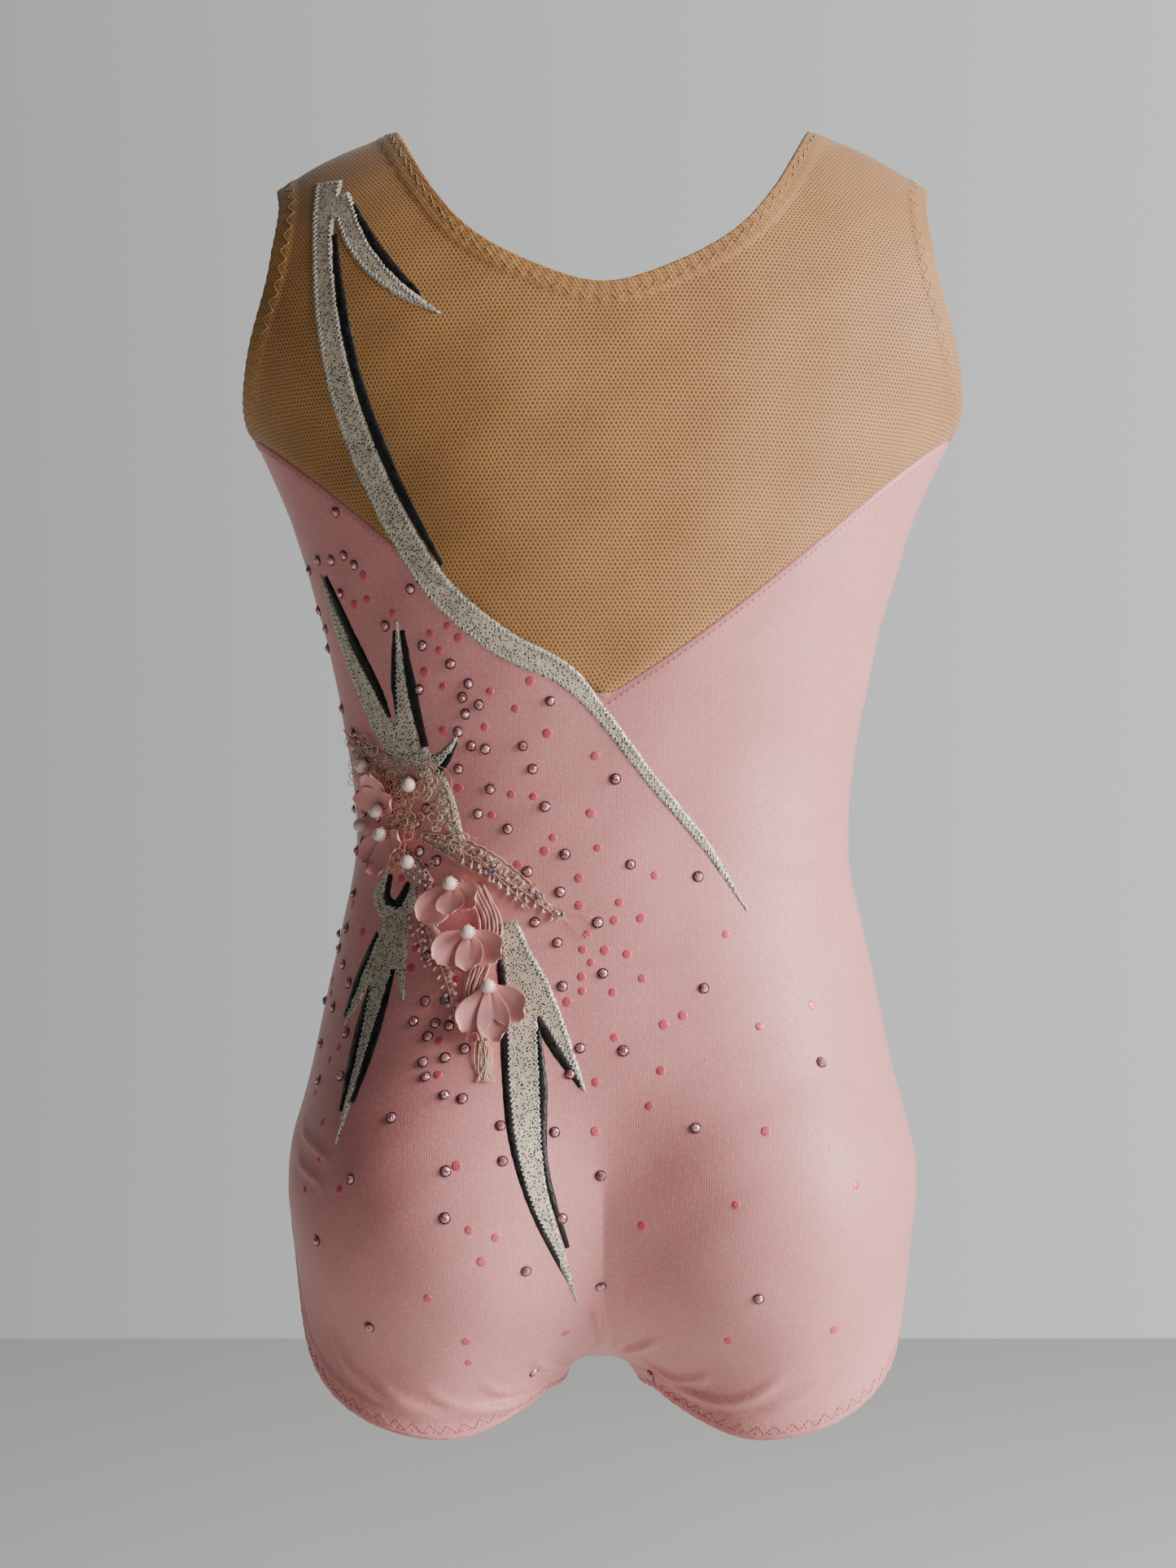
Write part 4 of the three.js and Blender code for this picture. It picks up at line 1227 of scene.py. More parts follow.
# Centre lines of [x, z, width] on the back, as in the CAD.
RIBBON = [[(-112, -30, 12), (-113, -54, 9), (-110, -90, 10), (-103, -124, 11), (-90, -158, 11),
           (-76, -184, 11), (-64, -201, 11), (-40, -221, 11), (-15, -234, 9), (-1, -249, 6),
           (19, -275, 5), (42, -303, 4), (58, -328, 0.6)],
          [(-107, -38, 9), (-97, -63, 9), (-81, -81, 6), (-64, -92, 0.6)]]
WAIST_STAR = [[(-117, -190, 0.6), (-108, -215, 5), (-98, -237, 8), (-87, -258, 10), (-77, -268, 8)],
              [(-83, -211, 0.6), (-82, -235, 5), (-79, -264, 10)],
              [(-58, -257, 0.6), (-66, -267, 5), (-76, -270, 8)],
              [(-76, -264, 10), (-66, -278, 8), (-60, -294, 6), (-54, -308, 0.6)]]
HIP_STAR = [[(-83, -327, 9), (-89, -350, 9), (-97, -384, 5), (-106, -420, 0.6)],
            [(-86, -334, 8), (-97, -357, 5), (-106, -376, 0.6)],
            [(-82, -332, 7), (-82, -350, 5), (-80, -364, 0.6)],
            [(-85, -334, 6), (-92, -324, 5), (-87, -310, 0.6)],
            [(-83, -332, 6), (-78, -324, 5), (-75, -313, 0.6)]]
HIP_BLADE = [[(-38, -332, 8), (-33, -352, 13), (-32, -375, 13), (-31, -397, 13), (-29, -418, 11),
              (-25, -438, 8), (-17, -460, 4), (-10, -482, 0.6)],
             [(-35, -342, 10), (-25, -360, 10), (-18, -374, 7), (-12, -387, 4), (-7, -398, 0.6)]]
FOILS = {"shoulder_ribbon": RIBBON, "waist_star": WAIST_STAR, "hip_star": HIP_STAR,
         "hip_blade": HIP_BLADE}
BLACK_STRIPS = {
    "ribbon_black_edge": [(-108, -56, 1), (-105, -81, 3), (-97, -118, 3), (-83, -155, 3),
                          (-71, -178, 2), (-64, -190, 0.6)],
    "fork_black_edge": [(-101, -43, 1), (-93, -59, 3), (-84, -72, 3), (-72, -84, 0.6)],
    "waist_black_long": [(-115, -191, 0.8), (-102, -219, 3), (-92, -239, 3), (-87, -250, 1)],
    "waist_black_left": [(-84, -215, 0.8), (-84.5, -236, 2), (-83, -250, 1)],
    "waist_black_right": [(-81, -215, 0.8), (-77, -240, 3), (-72, -262, 2)],
    "waist_black_short": [(-59, -260, 0.8), (-65, -270, 2), (-72, -275, 1)],
    "hip_black_cup": [(-87, -314, 0.8), (-88, -324, 2), (-84, -327, 4), (-79, -317, 0.8)],
    "hip_black_outer": [(-92, -338, 1), (-99, -354, 2), (-106, -373, 0.8)],
    "hip_black_left": [(-93, -354, 1), (-99, -378, 3), (-105, -408, 0.8)],
    "hip_black_right": [(-85, -352, 1), (-92, -378, 3), (-100, -404, 0.8)],
    "blade_black_edge": [(-42, -342, 1), (-39, -364, 3), (-38, -388, 3), (-35, -415, 3),
                         (-27, -442, 2), (-14, -471, 0.6)],
    "blade_black_notch": [(-28, -365, 1), (-21, -378, 3), (-9, -396, 0.6)],
    "blade_black_inner": [(-26, -373, 1), (-24, -395, 3), (-23, -424, 2), (-14, -458, 0.6)],
}
LACE_LEAVES = {
    "waist_lace_upper": [(-106, -257, 1), (-97, -266, 8), (-80, -272, 6)],
    "waist_lace_middle": [(-72, -268, 2), (-67, -280, 8), (-61, -292, 3)],
    "waist_lace_lower": [(-84, -303, 2), (-77, -311, 8), (-69, -317, 2)],
    "beaded_lace_band": [(-73, -298, 3), (-54, -305, 9), (-34, -317, 7), (-18, -330, 0.6)],
}
EMBROIDERY = {
    "embroidered_stem": [(-45, -326, 2), (-46, -343, 3), (-49, -358, 2.5), (-48, -374, 3),
                         (-47, -389, 5)],
    "beaded_sprig": [(-73, -330, 1), (-66, -340, 5), (-60, -362, 2)],
}
TRIM_FOOT = -0.15
FOIL_TOP = 0.38
BLACK_TOP = 0.5
RIM_HEIGHT = 0.1
PATCH_STEP = 1.8 if FULL else 3.0
PATCH_ROW = 0.87
CLEAR_OF_RIM = 0.35
LEAST_DOUBLE_AREA = 1e-4


LEAST_TIP = 0.3


def outline(spine, grow=0.0, ragged=0.0):
    """Closed outline of a blade: its two sides, left then right."""
    line = spline(spine, 10)
    flat, width = line[:, :2], line[:, 2]
    ahead = unit(np.gradient(flat, axis=0))
    side = left_of(ahead)
    half = np.maximum(width, LEAST_TIP)[:, None] / 2 + grow
    if ragged:
        half = half + RNG.uniform(-ragged, ragged, (len(flat), 1)) * np.minimum(half, 1)
    return np.vstack([flat + side * half, (flat - side * half)[::-1]])


def winding(points, shape):
    a, b = shape, np.roll(shape, -1, 0)
    x, z = points[:, :1], points[:, 1:]
    rise = b[:, 1] - a[:, 1]
    rise = np.where(np.abs(rise) < 1e-9, 1e-9, rise)
    at = a[:, 0] + (z - a[:, 1]) * (b[:, 0] - a[:, 0]) / rise
    upward = (a[:, 1] <= z) & (b[:, 1] > z) & (x < at)
    downward = (a[:, 1] > z) & (b[:, 1] <= z) & (x < at)
    return upward.sum(1) - downward.sum(1)


def covered(points, shapes):
    inside = np.zeros(len(points), bool)
    for shape in shapes:
        inside |= winding(points, shape) != 0
    return inside


def gap_to(points, segments):
    """Distance of flat points to the nearest of many segments."""
    best = np.full(len(points), np.inf)
    for a, b in segments:
        ab = b - a
        t = np.clip(((points - a) @ ab) / max(ab @ ab, 1e-12), 0, 1)
        best = np.minimum(best, np.linalg.norm(points - a - t[:, None] * ab, axis=1))
    return best


class Patch:
    """A flat shape, the union of outlines, filled with triangles and laid on the cloth."""

    def __init__(self, shapes, step=PATCH_STEP):
        low = np.vstack(shapes).min(0)
        high = np.vstack(shapes).max(0)
        xs = np.arange(low[0], high[0] + step, step)
        zs = np.arange(low[1], high[1] + step, step * PATCH_ROW)
        grid = np.array([(x + (j % 2) * step / 2, z) for j, z in enumerate(zs) for x in xs])
        grid = grid[covered(grid, shapes)]
        segments = [(a, b) for s in shapes for a, b in zip(s, np.roll(s, -1, 0))]
        grid = grid[gap_to(grid, segments) > step * CLEAR_OF_RIM]
        points, edges = [], []
        for s in shapes:
            first = len(points)
            points += [Vector(p) for p in s]
            edges += [(first + i, first + (i + 1) % len(s)) for i in range(len(s))]
        points += [Vector(p) for p in grid]
        found = delaunay_2d_cdt(points, edges, [], 0, 1e-4)
        self.flat = np.array([tuple(p) for p in found[0]])
        triangles = np.array([f for f in found[2] if len(f) == 3])
        middle = self.flat[triangles].mean(1)
        triangles = triangles[covered(middle, shapes)]
        triangles = triangles[self.double_areas(triangles) > LEAST_DOUBLE_AREA]
        used, place = np.unique(triangles, return_inverse=True)
        self.flat = self.flat[used]
        self.triangles = place.reshape(-1, 3)
        self.rim = self.rim_edges()
        self.depth = gap_to(self.flat, [(self.flat[i], self.flat[j]) for i, j in self.rim])

    def double_areas(self, triangles):
        a, b, c = (self.flat[triangles[:, k]] for k in range(3))
        return np.abs((b - a)[:, 0] * (c - a)[:, 1] - (b - a)[:, 1] * (c - a)[:, 0])

    def rim_edges(self):
        seen = {}
        for a, b, c in self.triangles.tolist():
            for pair in ((a, b), (b, c), (c, a)):
                seen.setdefault(tuple(sorted(pair)), []).append(pair)
        return [pairs[0] for pairs in seen.values() if len(pairs) == 1]

    def loops(self):
        """The rim as closed lines of point numbers, cloth on the same side all along."""
        following = {}
        for a, b in self.rim:
            following.setdefault(a, []).append(b)
        lines = []
        while following:
            start = next(iter(following))
            line, here = [start], start
            while following.get(here):
                there = following[here].pop()
                if not following[here]:
                    del following[here]
                if there == start:
                    break
                line.append(there)
                here = there
            if len(line) > 5:
                lines.append(line)
        return lines

    def lay(self, build, height):
        """Adds the closed solid; height(depth, flat) is how far its top stands off the cloth."""
        base, normal = BACK_SIDE.at(self.flat)
        top = base + normal * height(self.depth, self.flat)[:, None]
        bottom = base + normal * TRIM_FOOT
        count = len(self.flat)
        cloud = np.vstack([top, bottom])
        faces = self.triangles.tolist() + [(c + count, b + count, a + count)
                                           for a, b, c in self.triangles.tolist()]
        for a, b in self.rim:
            faces += [(b, a, a + count), (b, a + count, b + count)]
        build.add(cloud, faces)

    def covers(self, points):
        """Which flat points lie over the patch, by its rim's loops."""
        return sum(winding(points, self.flat[line]) for line in self.loops()) != 0


def rounded(top, edge=0.6, wobble=0.0):
    """Height of a patch: down at its rim, level inside, a little uneven."""
    def height(depth, flat):
        grain = np.sin(flat[:, 0] * 1.9 + flat[:, 1] * 1.1) * np.sin(flat[:, 1] * 2.3 - flat[:, 0])
        return (RIM_HEIGHT + (top - RIM_HEIGHT) * smooth(depth / edge)
                + wobble * grain * smooth(depth / 2))
    return height


RIM_STITCH = dict(inset=1.3, swing=0.65, pitch=1.0, radius=0.22, lift=FOIL_TOP + 0.08,
                  least_inset=0.25, probe=0.3)


def rim_stitches(build, patch):
    """Zigzag thread that follows the rim of a foil, a little inside it."""
    for line in patch.loops():
        track = patch.flat[line]
        track = np.vstack([track, track[:1]])
        count = max(8, int(steps_of(track).sum() / RIM_STITCH["pitch"]))
        even = spaced(track, count)[:-1]
        ahead = unit(np.roll(even, -2, 0) - np.roll(even, 2, 0))
        inward = left_of(ahead)
        if patch.covers(even + inward * RIM_STITCH["probe"]).mean() < 0.5:
            inward = -inward
        offsets = RIM_STITCH["inset"] + RIM_STITCH["swing"] * np.where(np.arange(count) % 2, 1, -1)
        corners = even + inward * offsets[:, None]
        out = ~patch.covers(corners)
        corners[out] = even[out] + inward[out] * RIM_STITCH["least_inset"]
        steps = []
        for i in range(count):
            a, b = corners[i], corners[(i + 1) % count]
            steps += [a, (a + b) / 2]
        base, up = on_back(np.array(steps + [steps[0]]))
        if len(base) > 3:
            add_tube(build, base + up * RIM_STITCH["lift"], RIM_STITCH["radius"], 5, up)


def declare(made, patch):
    """Works out the area of a foil's patch; nothing is done with it."""
    area = patch.double_areas(patch.triangles).sum() / 2


RAGGED_FOIL = 0.12
RAGGED_STRIP = 0.15
# The black strips are drawn wider than the CAD's, which leave room for their sides.
STRIP_GROW = 0.55

for name, spines in FOILS.items():
    patch = Patch([outline(s, 0, RAGGED_FOIL) for s in spines])
    build = Build()
    patch.lay(build, rounded(FOIL_TOP, 0.4, 0.05))
    declare(build.piece(name, SILVER, slot="silver_foil", nodes=[name]), patch)
    thread = Build()
    rim_stitches(thread, patch)
    thread.piece(name + "_zigzag", SILVER_THREAD, slot="silver_foil")

for name, spine in BLACK_STRIPS.items():
    build = Build()
    Patch([outline(spine, STRIP_GROW, RAGGED_STRIP)]).lay(build, rounded(BLACK_TOP, 0.5, 0.04))
    build.piece(name, BLACK, slot="black_foil", nodes=[name])


# ------------------------------------------------------------------ small things set on the cloth

def ball(rings=6, around=8):
    """A unit ball as points and faces, pole along z."""
    points = [(0, 0, 1)]
    for i in range(1, rings):
        polar = math.pi * i / rings
        points += [(math.sin(polar) * math.cos(2 * math.pi * j / around),
                    math.sin(polar) * math.sin(2 * math.pi * j / around), math.cos(polar))
                   for j in range(around)]
    points.append((0, 0, -1))
    return np.array(points), lathe_faces(rings - 1, around)


def lathe_faces(rows, around):
    """Triangles and quads of a closed turned shape: one pole, `rows` rings, the other pole."""
    faces = []
    for j in range(around):
        k = (j + 1) % around
        faces.append((0, 1 + j, 1 + k, 1 + k))
        for i in range(rows - 1):
            a, b = 1 + i * around, 1 + (i + 1) * around
            faces.append((a + j, b + j, b + k, a + k))
        last = 1 + (rows - 1) * around
        faces.append((last + j, 1 + rows * around, last + k, last + k))
    return faces


def turned(profile_points, around, offset=0.0):
    """A turned shape from (radius, height) points between two poles."""
    points = [(0, 0, profile_points[0][1])]
    for radius, height in profile_points:
        points += [(radius * math.cos(2 * math.pi * (j + offset) / around),
                    radius * math.sin(2 * math.pi * (j + offset) / around), height)
                   for j in range(around)]
    points.append((0, 0, profile_points[-1][1]))
    return np.array(points), lathe_faces(len(profile_points), around)


def clean(face):
    """A face without repeated corners."""
    return [v for i, v in enumerate(face) if v != face[i - 1]]


def frame_at(point, normal, turn=0.0):
    """Axes with z along the normal, turned about it."""
    side = unit(np.cross(normal, (0.0, 0.0, 1.0)))
    up = np.cross(side, normal)
    c, s = math.cos(turn), math.sin(turn)
    return point, np.stack([c * side + s * up, -s * side + c * up, normal])


def stand(build, shape, frame, size=1.0, lift=0.0):
    """Sets a small shape, `size` times as big along each axis, on the cloth."""
    points, faces = shape
    origin, axes = frame
    cloud = (points * size + (0, 0, lift)) @ axes + origin
    triangles = []
    for face in faces:
        corners = clean(list(face))
        triangles += [(corners[0], corners[i], corners[i + 1]) for i in range(1, len(corners) - 1)]
    build.add(cloud, triangles)


def facets():
    """A flat-backed stone: table, two rows of facets and the girdle."""
    around = 8
    points, faces = turned([(0.42, 1.0), (0.78, 0.62), (1.0, 0.2), (1.0, 0.0)], around)
    points[1 + around:1 + 2 * around] = turned([(0.78, 0.62)], around, 0.5)[0][1:1 + around]
    return points, faces


STONE_SHAPE = facets()
CUP_SHAPE = turned([(0.7, -0.1), (1.0, 0.0), (1.16, 0.1), (1.2, 0.3), (1.08, 0.38), (0.98, 0.3),
                    (0.9, 0.1)], 12)
DOT_SHAPE = turned([(0.35, 1.0), (0.68, 0.85), (0.92, 0.5), (1.0, 0.15), (1.0, -0.3)], 12)
BEAD_SHAPE = ball(6, 8)
SEQUIN_SHAPE = turned([(0.25, 0.2), (0.3, 0.28), (0.7, 0.5), (1.0, 0.75), (1.0, 0.6), (0.7, 0.3),
                       (0.3, 0.1)], 12)
STONE_RADIUS = 2.2
STONE_HEIGHT = 1.7
CUP_HEIGHT = 1.2


STONE_TILT = 0.06
STONE_LIFT = 0.15
CUP_LIFT = 0.05


def set_stones(name, places, nodes=()):
    """Faceted stones in dark metal cups."""
    base, normal = BACK_SIDE.at(places)
    stones, cups = Build(), Build()
    for i in range(len(places)):
        if np.isnan(base[i, 0]):
            continue
        size = STONE_RADIUS / 1.2 * RNG.uniform(0.95, 1.08)
        tilt = unit(normal[i] + RNG.normal(0, STONE_TILT, 3))
        frame = frame_at(base[i], tilt, RNG.uniform(0, math.pi))
        stand(stones, STONE_SHAPE, frame, (size * 0.98, size * 0.98, STONE_HEIGHT * 0.8),
              STONE_LIFT)
        stand(cups, CUP_SHAPE, frame, (size, size, CUP_HEIGHT), CUP_LIFT)
    stones.piece(name, PINK_GLASS, slot="pink_glass", nodes=nodes, smooth_faces=False)
    cups.piece(name + "_cups", RIM_METAL, slot="black_foil")


CAD_STONES = [(5, -275), (38, -314), (40, -358), (87, -388), (36, -411), (60, -476)]
for i, place in enumerate(CAD_STONES):
    name = "rhinestone_%d" % (i + 1)
    set_stones(name, np.array([place], float), [name])


def away(places, taken, gap):
    """The places that keep `gap` from each other and from what is already there."""
    kept = []
    others = [tuple(t) for t in taken]
    for place in places:
        if all(math.hypot(place[0] - o[0], place[1] - o[1]) > gap for o in others):
            kept.append(place)
            others.append(tuple(place))
    return kept


# Stones that stand alone, and the lines that a cloud of more of them gathers along.
LONE_STONES = [(-21, -244), (-47, -263), (-28, -271), (-45, -279), (-23, -286), (-38, -295),
               (-50, -289), (-58, -271), (-55, -249), (-74, -239), (-61, -229), (-77, -199),
               (-101, -188), (-88, -213), (-15, -305), (11, -309), (-30, -312), (-17, -320),
               (-2, -332), (-27, -332), (-18, -340), (0, -352), (-16, -357), (8, -382),
               (-9, -381), (-13, -391), (-19, -413), (-40, -410), (-39, -423), (-1, -430),
               (-16, -446), (-61, -444), (-55, -400), (-83, -408), (-71, -387), (-61, -373),
               (-30, -466), (-1, -476), (-28, -515), (-92, -491), (-99, -432), (-114, -459),
               (20, -521)]
CLOUDS = [([(-110, -170), (-117, -212), (-108, -262)], 34, 5.5),
          ([(-100, -262), (-92, -284), (-74, -308), (-66, -330)], 40, 9),
          ([(-104, -288), (-110, -330), (-117, -400)], 36, 6.5),
          ([(-60, -340), (-70, -372), (-60, -402)], 18, 9),
          ([(-70, -215), (-52, -242), (-36, -262)], 12, 8)]
DOT_CLOUDS = [([(-100, -190), (-66, -236), (-40, -268), (-22, -300)], 54, 11),
              ([(-92, -300), (-74, -340), (-70, -392)], 54, 13),
              ([(-34, -300), (-4, -345), (-4, -398)], 40, 12),
              ([(-112, -280), (-115, -350), (-114, -430)], 30, 6),
              ([(-20, -400), (-45, -440), (-40, -480)], 8, 14)]
DOTS = [(-45, -240), (-29, -236), (-62, -214), (-58, -279), (-3, -266), (15, -330), (49, -337),
        (24, -372), (62, -373), (84, -366), (18, -403), (-3, -413), (63, -412), (99, -434),
        (51, -439), (15, -449), (-47, -461), (-68, -476), (-15, -497), (-53, -505), (49, -495),
        (91, -492)]
FLOWERS = [
    ((-88, -287.5), (-0.2, 1), [(-65, 11, 8), (0, 16, 10), (42, 13, 9)]),
    ((-86.5, -297.5), (-0.3, -1), [(-32, 15, 10), (10, 17, 10), (84, 13, 8)]),
    ((-59, -318), (-0.1, -1), [(-31, 20, 12), (10, 13, 10), (58, 15, 10)]),
    ((-52, -337), (0, -1), [(-47, 18, 12), (7, 16, 10), (51, 18, 12)]),
    ((-44, -358), (0.1, -1), [(-31, 21, 12), (6, 23, 11), (42, 20, 12)]),
]
LOOSE_PEARLS = [(-97, -269), (-77, -277), (-98, -294), (-77.5, -309)]
PEARL_RADIUS = 3

reserved = CAD_STONES + LONE_STONES + DOTS + LOOSE_PEARLS + [f[0] for f in FLOWERS]
ALL_FOIL = [spine for spines in FOILS.values() for spine in spines] + list(BLACK_STRIPS.values())


CLEAR_OF_FOIL = 2.2
STONE_SPACING = 5.2
DOT_SPACING = 4.6


def scatter(clouds, taken, gap):
    """Places strewn along lines, as (line, how many, how far they stray), clear of the foil."""
    places = []
    for line, count, spread in clouds:
        track = spaced(flat_line(line, 8), count - 1)
        places += [tuple(p) for p in track + RNG.normal(0, spread, (count, 2))]
    places = away(places, taken, gap)
    under_foil = covered(np.array(places), [outline(s, CLEAR_OF_FOIL) for s in ALL_FOIL])
    return [place for place, hidden in zip(places, under_foil) if not hidden]


cloud_places = scatter(CLOUDS, reserved, STONE_SPACING)
set_stones("scattered_stones", np.array(LONE_STONES + cloud_places, float))

DOT_RADIUS = 1.9
DOT_HEIGHT = 0.28
dot_places = DOTS + scatter(DOT_CLOUDS, reserved + cloud_places, DOT_SPACING)
dot_build = Build()
base, normal = BACK_SIDE.at(np.array(dot_places, float))
for i in range(len(dot_places)):
    size = DOT_RADIUS * RNG.uniform(0.8, 1.1)
    if not np.isnan(base[i, 0]):
        stand(dot_build, DOT_SHAPE, frame_at(base[i], normal[i], RNG.uniform(0, 1)),
              (size, size, DOT_HEIGHT))
dot_build.piece("glitter_dots", GLITTER, slot="pink_glass")


# ------------------------------------------------------------------ lace, embroidery and beads

def path_on_cloth(points, lift, count):
    """A line of x, z points laid on the back, `lift` above it."""
    base, up = on_back(spaced(flat_line(points), count))
    return base + up * lift, up


def bead_row(build, points, radius, pitch, lift, jitter):
    track = flat_line(points)
    even = spaced(track, max(2, int(steps_of(track).sum() / pitch)))
    even = even + RNG.normal(0, jitter, even.shape)
    base, up = BACK_SIDE.at(even)
    for i in range(len(even)):
        if not np.isnan(base[i, 0]):
            size = radius * RNG.uniform(0.85, 1.12)
            stand(build, BEAD_SHAPE, frame_at(base[i], up[i]), size, lift)


LACE_TOP = 0.7
SCALLOP = 0.16
SCALLOP_PITCH = 1.4
VEIN_STEP = 9
LACE_CORD = 0.26
LACE_VEIN = 0.2


def lace_leaf(name, spine, cloth):
    """A scalloped leaf of net with a corded rim, veins and small beads."""
    line = spline(spine, 14)
    flat, width = line[:, :2], line[:, 2]
    ahead = unit(np.gradient(flat, axis=0))
    side = left_of(ahead)
    run = np.concatenate([[0], np.cumsum(steps_of(flat))])
    scallop = 1 + SCALLOP * np.abs(np.sin(run / SCALLOP_PITCH))
    half = (np.maximum(width, 0.5) / 2 * scallop)[:, None]
    left, right = flat + side * half, flat - side * half
    shape = np.vstack([left, right[::-1]])
    build = Build()
    Patch([shape], PATCH_STEP * 0.7).lay(build, rounded(LACE_TOP, 1.2, 0.25))
    build.piece(name, cloth, slot="lace", nodes=[name])
    cords = Build()
    closed = np.vstack([shape, shape[:1]])
    for track in (closed, flat):
        pts, up = path_on_cloth([tuple(p) for p in track], LACE_TOP * 0.75, 90)
        add_tube(cords, pts, LACE_CORD, 5, up)
    for k in range(VEIN_STEP - 1, len(flat) - VEIN_STEP + 1, VEIN_STEP):
        for out in (left, right):
            tip = flat[k] + (out[k] - flat[k]) * 0.85 + ahead[k] * 1.2
            pts, up = path_on_cloth([tuple(flat[k]), tuple((flat[k] + tip) / 2 + ahead[k] * 0.4),
                                     tuple(tip)], LACE_TOP + 0.05, 8)
            if len(pts) > 3:
                add_tube(cords, pts, LACE_VEIN, 5, up)
    cords.piece(name + "_cords", GOLD_THREAD, slot="gold_thread")
    beads = Build()
    bead_row(beads, [tuple(p) for p in flat[::7]], 0.5, 2.6, LACE_TOP + 0.3, 0.3)
    bead_row(beads, [tuple(p) for p in (flat + (left - flat) * 0.6)[::7]], 0.42, 3.1,
             LACE_TOP + 0.2, 0.3)
    beads.piece(name + "_beads", SEED_BEAD, slot="pink_glass")


for name, spine in LACE_LEAVES.items():
    lace_leaf(name, spine, LACE_MAUVE if name == "beaded_lace_band" else LACE_GOLD)


SATIN_PITCH = 0.62
SATIN_LIFTS = (0.1, 0.95, 0.1)


def stitched_strip(name, spine, cloth):
    """Dense satin stitch across a narrow strip."""
    line = spline(spine, 12)
    flat, width = line[:, :2], line[:, 2]
    build = Build()
    Patch([outline(spine, -0.2)], 1.2).lay(build, rounded(0.6, 0.5))
    build.piece(name, cloth, slot="gold_thread", nodes=[name])
    ahead = unit(np.gradient(flat, axis=0))
    side = left_of(ahead)
    count = int(steps_of(flat).sum() / SATIN_PITCH)
    threads = Build()
    for i, s in enumerate(np.linspace(0, len(flat) - 1, count)):
        k = min(int(s), len(flat) - 2)
        t = s - k
        centre = flat[k] * (1 - t) + flat[k + 1] * t
        half = (width[k] * (1 - t) + width[k + 1] * t) / 2 * RNG.uniform(0.92, 1.12)
        lean = ahead[k] * (0.6 if i % 2 else -0.2)
        base, up = BACK_SIDE.at(np.array([centre + side[k] * half, centre + lean,
                                          centre - side[k] * half]))
        add_tube(threads, base + up * np.array(SATIN_LIFTS)[:, None], 0.2, 5, up)
    threads.piece(name + "_threads", GOLD_THREAD, slot="gold_thread")


for name, spine in EMBROIDERY.items():
    stitched_strip(name, spine, LACE_GOLD if name == "embroidered_stem" else LACE_MAUVE)

# Cords gathered side by side: how many, and half the bundle's width.
CORDS = 11
CORD_HALF = 5
CORD_LINE = [(-52, -317), (-45, -333), (-48, -348), (-52, -362), (-47, -378)]
cords = Build()
for i in range(CORDS):
    share = 2 * i / (CORDS - 1) - 1
    route = [(x + share * CORD_HALF * (1 - 0.12 * k) + RNG.normal(0, 0.35), z + RNG.normal(0, 0.5))
             for k, (x, z) in enumerate(CORD_LINE)]
    pts, up = path_on_cloth(route, 0.75 + 0.35 * (i % 2), 46)
    thick = 0.42 + 0.1 * np.sin(np.arange(len(pts)) * 1.1 + i)
    add_tube(cords, pts, thick, 6, up)
cords.piece("gathered_cords", ROSE_THREAD, slot="gold_thread")

TASSEL_THREADS = 22
tassel = Build()
for i in range(TASSEL_THREADS):
    start = (-47 + RNG.normal(0, 1.6), -380 + RNG.normal(0, 1))
    fall = [start, (start[0] + RNG.normal(0, 0.8), -387), (-47 + RNG.normal(0, 1.5), -394)]
    pts, up = path_on_cloth(fall, 0.7 + 0.2 * (i % 4), 12)
    add_tube(tassel, pts, 0.2, 5, up)
tassel.piece("stem_tassel", GOLD_THREAD, slot="gold_thread")


def sprig(name, stem, pairs, reach):
    """A thread stem with twigs on both sides, each ending in small seed beads."""
    even = spaced(flat_line(stem), pairs + 1)
    ahead = unit(np.gradient(even, axis=0))
    side = left_of(ahead)
    threads, beads = Build(), Build()
    pts, up = path_on_cloth(stem, 1.2, 40)
    add_tube(threads, pts, 0.28, 6, up)
    grains = []
    for k in range(1, pairs + 1):
        for way in (-1, 1):
            length = reach * (1 - 0.55 * k / pairs) * RNG.uniform(0.8, 1.15)
            tip = even[k] + ahead[k] * length * 0.8 + side[k] * way * length
            middle = even[k] + ahead[k] * length * 0.55 + side[k] * way * length * 0.4
            pts, up = path_on_cloth([tuple(even[k]), tuple(middle), tuple(tip)], 1.25, 8)
            if len(pts) > 3:
                add_tube(threads, pts, 0.18, 5, up)
            grains += [tip, (tip + middle) / 2 + side[k] * way * 0.3]
    grains = np.array(grains)
    base, up = BACK_SIDE.at(grains)
    for i in range(len(grains)):
        if not np.isnan(base[i, 0]):
            size = RNG.uniform(0.5, 0.72)
            stand(beads, BEAD_SHAPE, frame_at(base[i], up[i], RNG.uniform(0, math.pi)),
                  (size, size * 1.5, size), 1.3)
    threads.piece(name + "_threads", ROSE_THREAD, slot="gold_thread")
    beads.piece(name + "_beads", SEED_BEAD, slot="pink_glass")


SPRIGS = {
    "band_sprig": ([(-60, -301), (-44, -312), (-30, -321), (-17, -331)], 11, 4.2),
    "band_sprig_low": ([(-52, -304), (-40, -316), (-29, -327)], 7, 3.2),
    "side_sprig": ([(-73, -328), (-68, -342), (-62, -356), (-58, -372)], 10, 4.4),
    "side_sprig_low": ([(-77, -326), (-74, -338), (-69, -352)], 7, 3.0),
    "upper_sprig": ([(-108, -254), (-100, -262), (-90, -272)], 6, 3.4),
    "knot_sprig": ([(-86, -302), (-79, -310), (-69, -318)], 7, 3.4),
}
for name, (stem, pairs, reach) in SPRIGS.items():
    sprig(name, stem, pairs, reach)

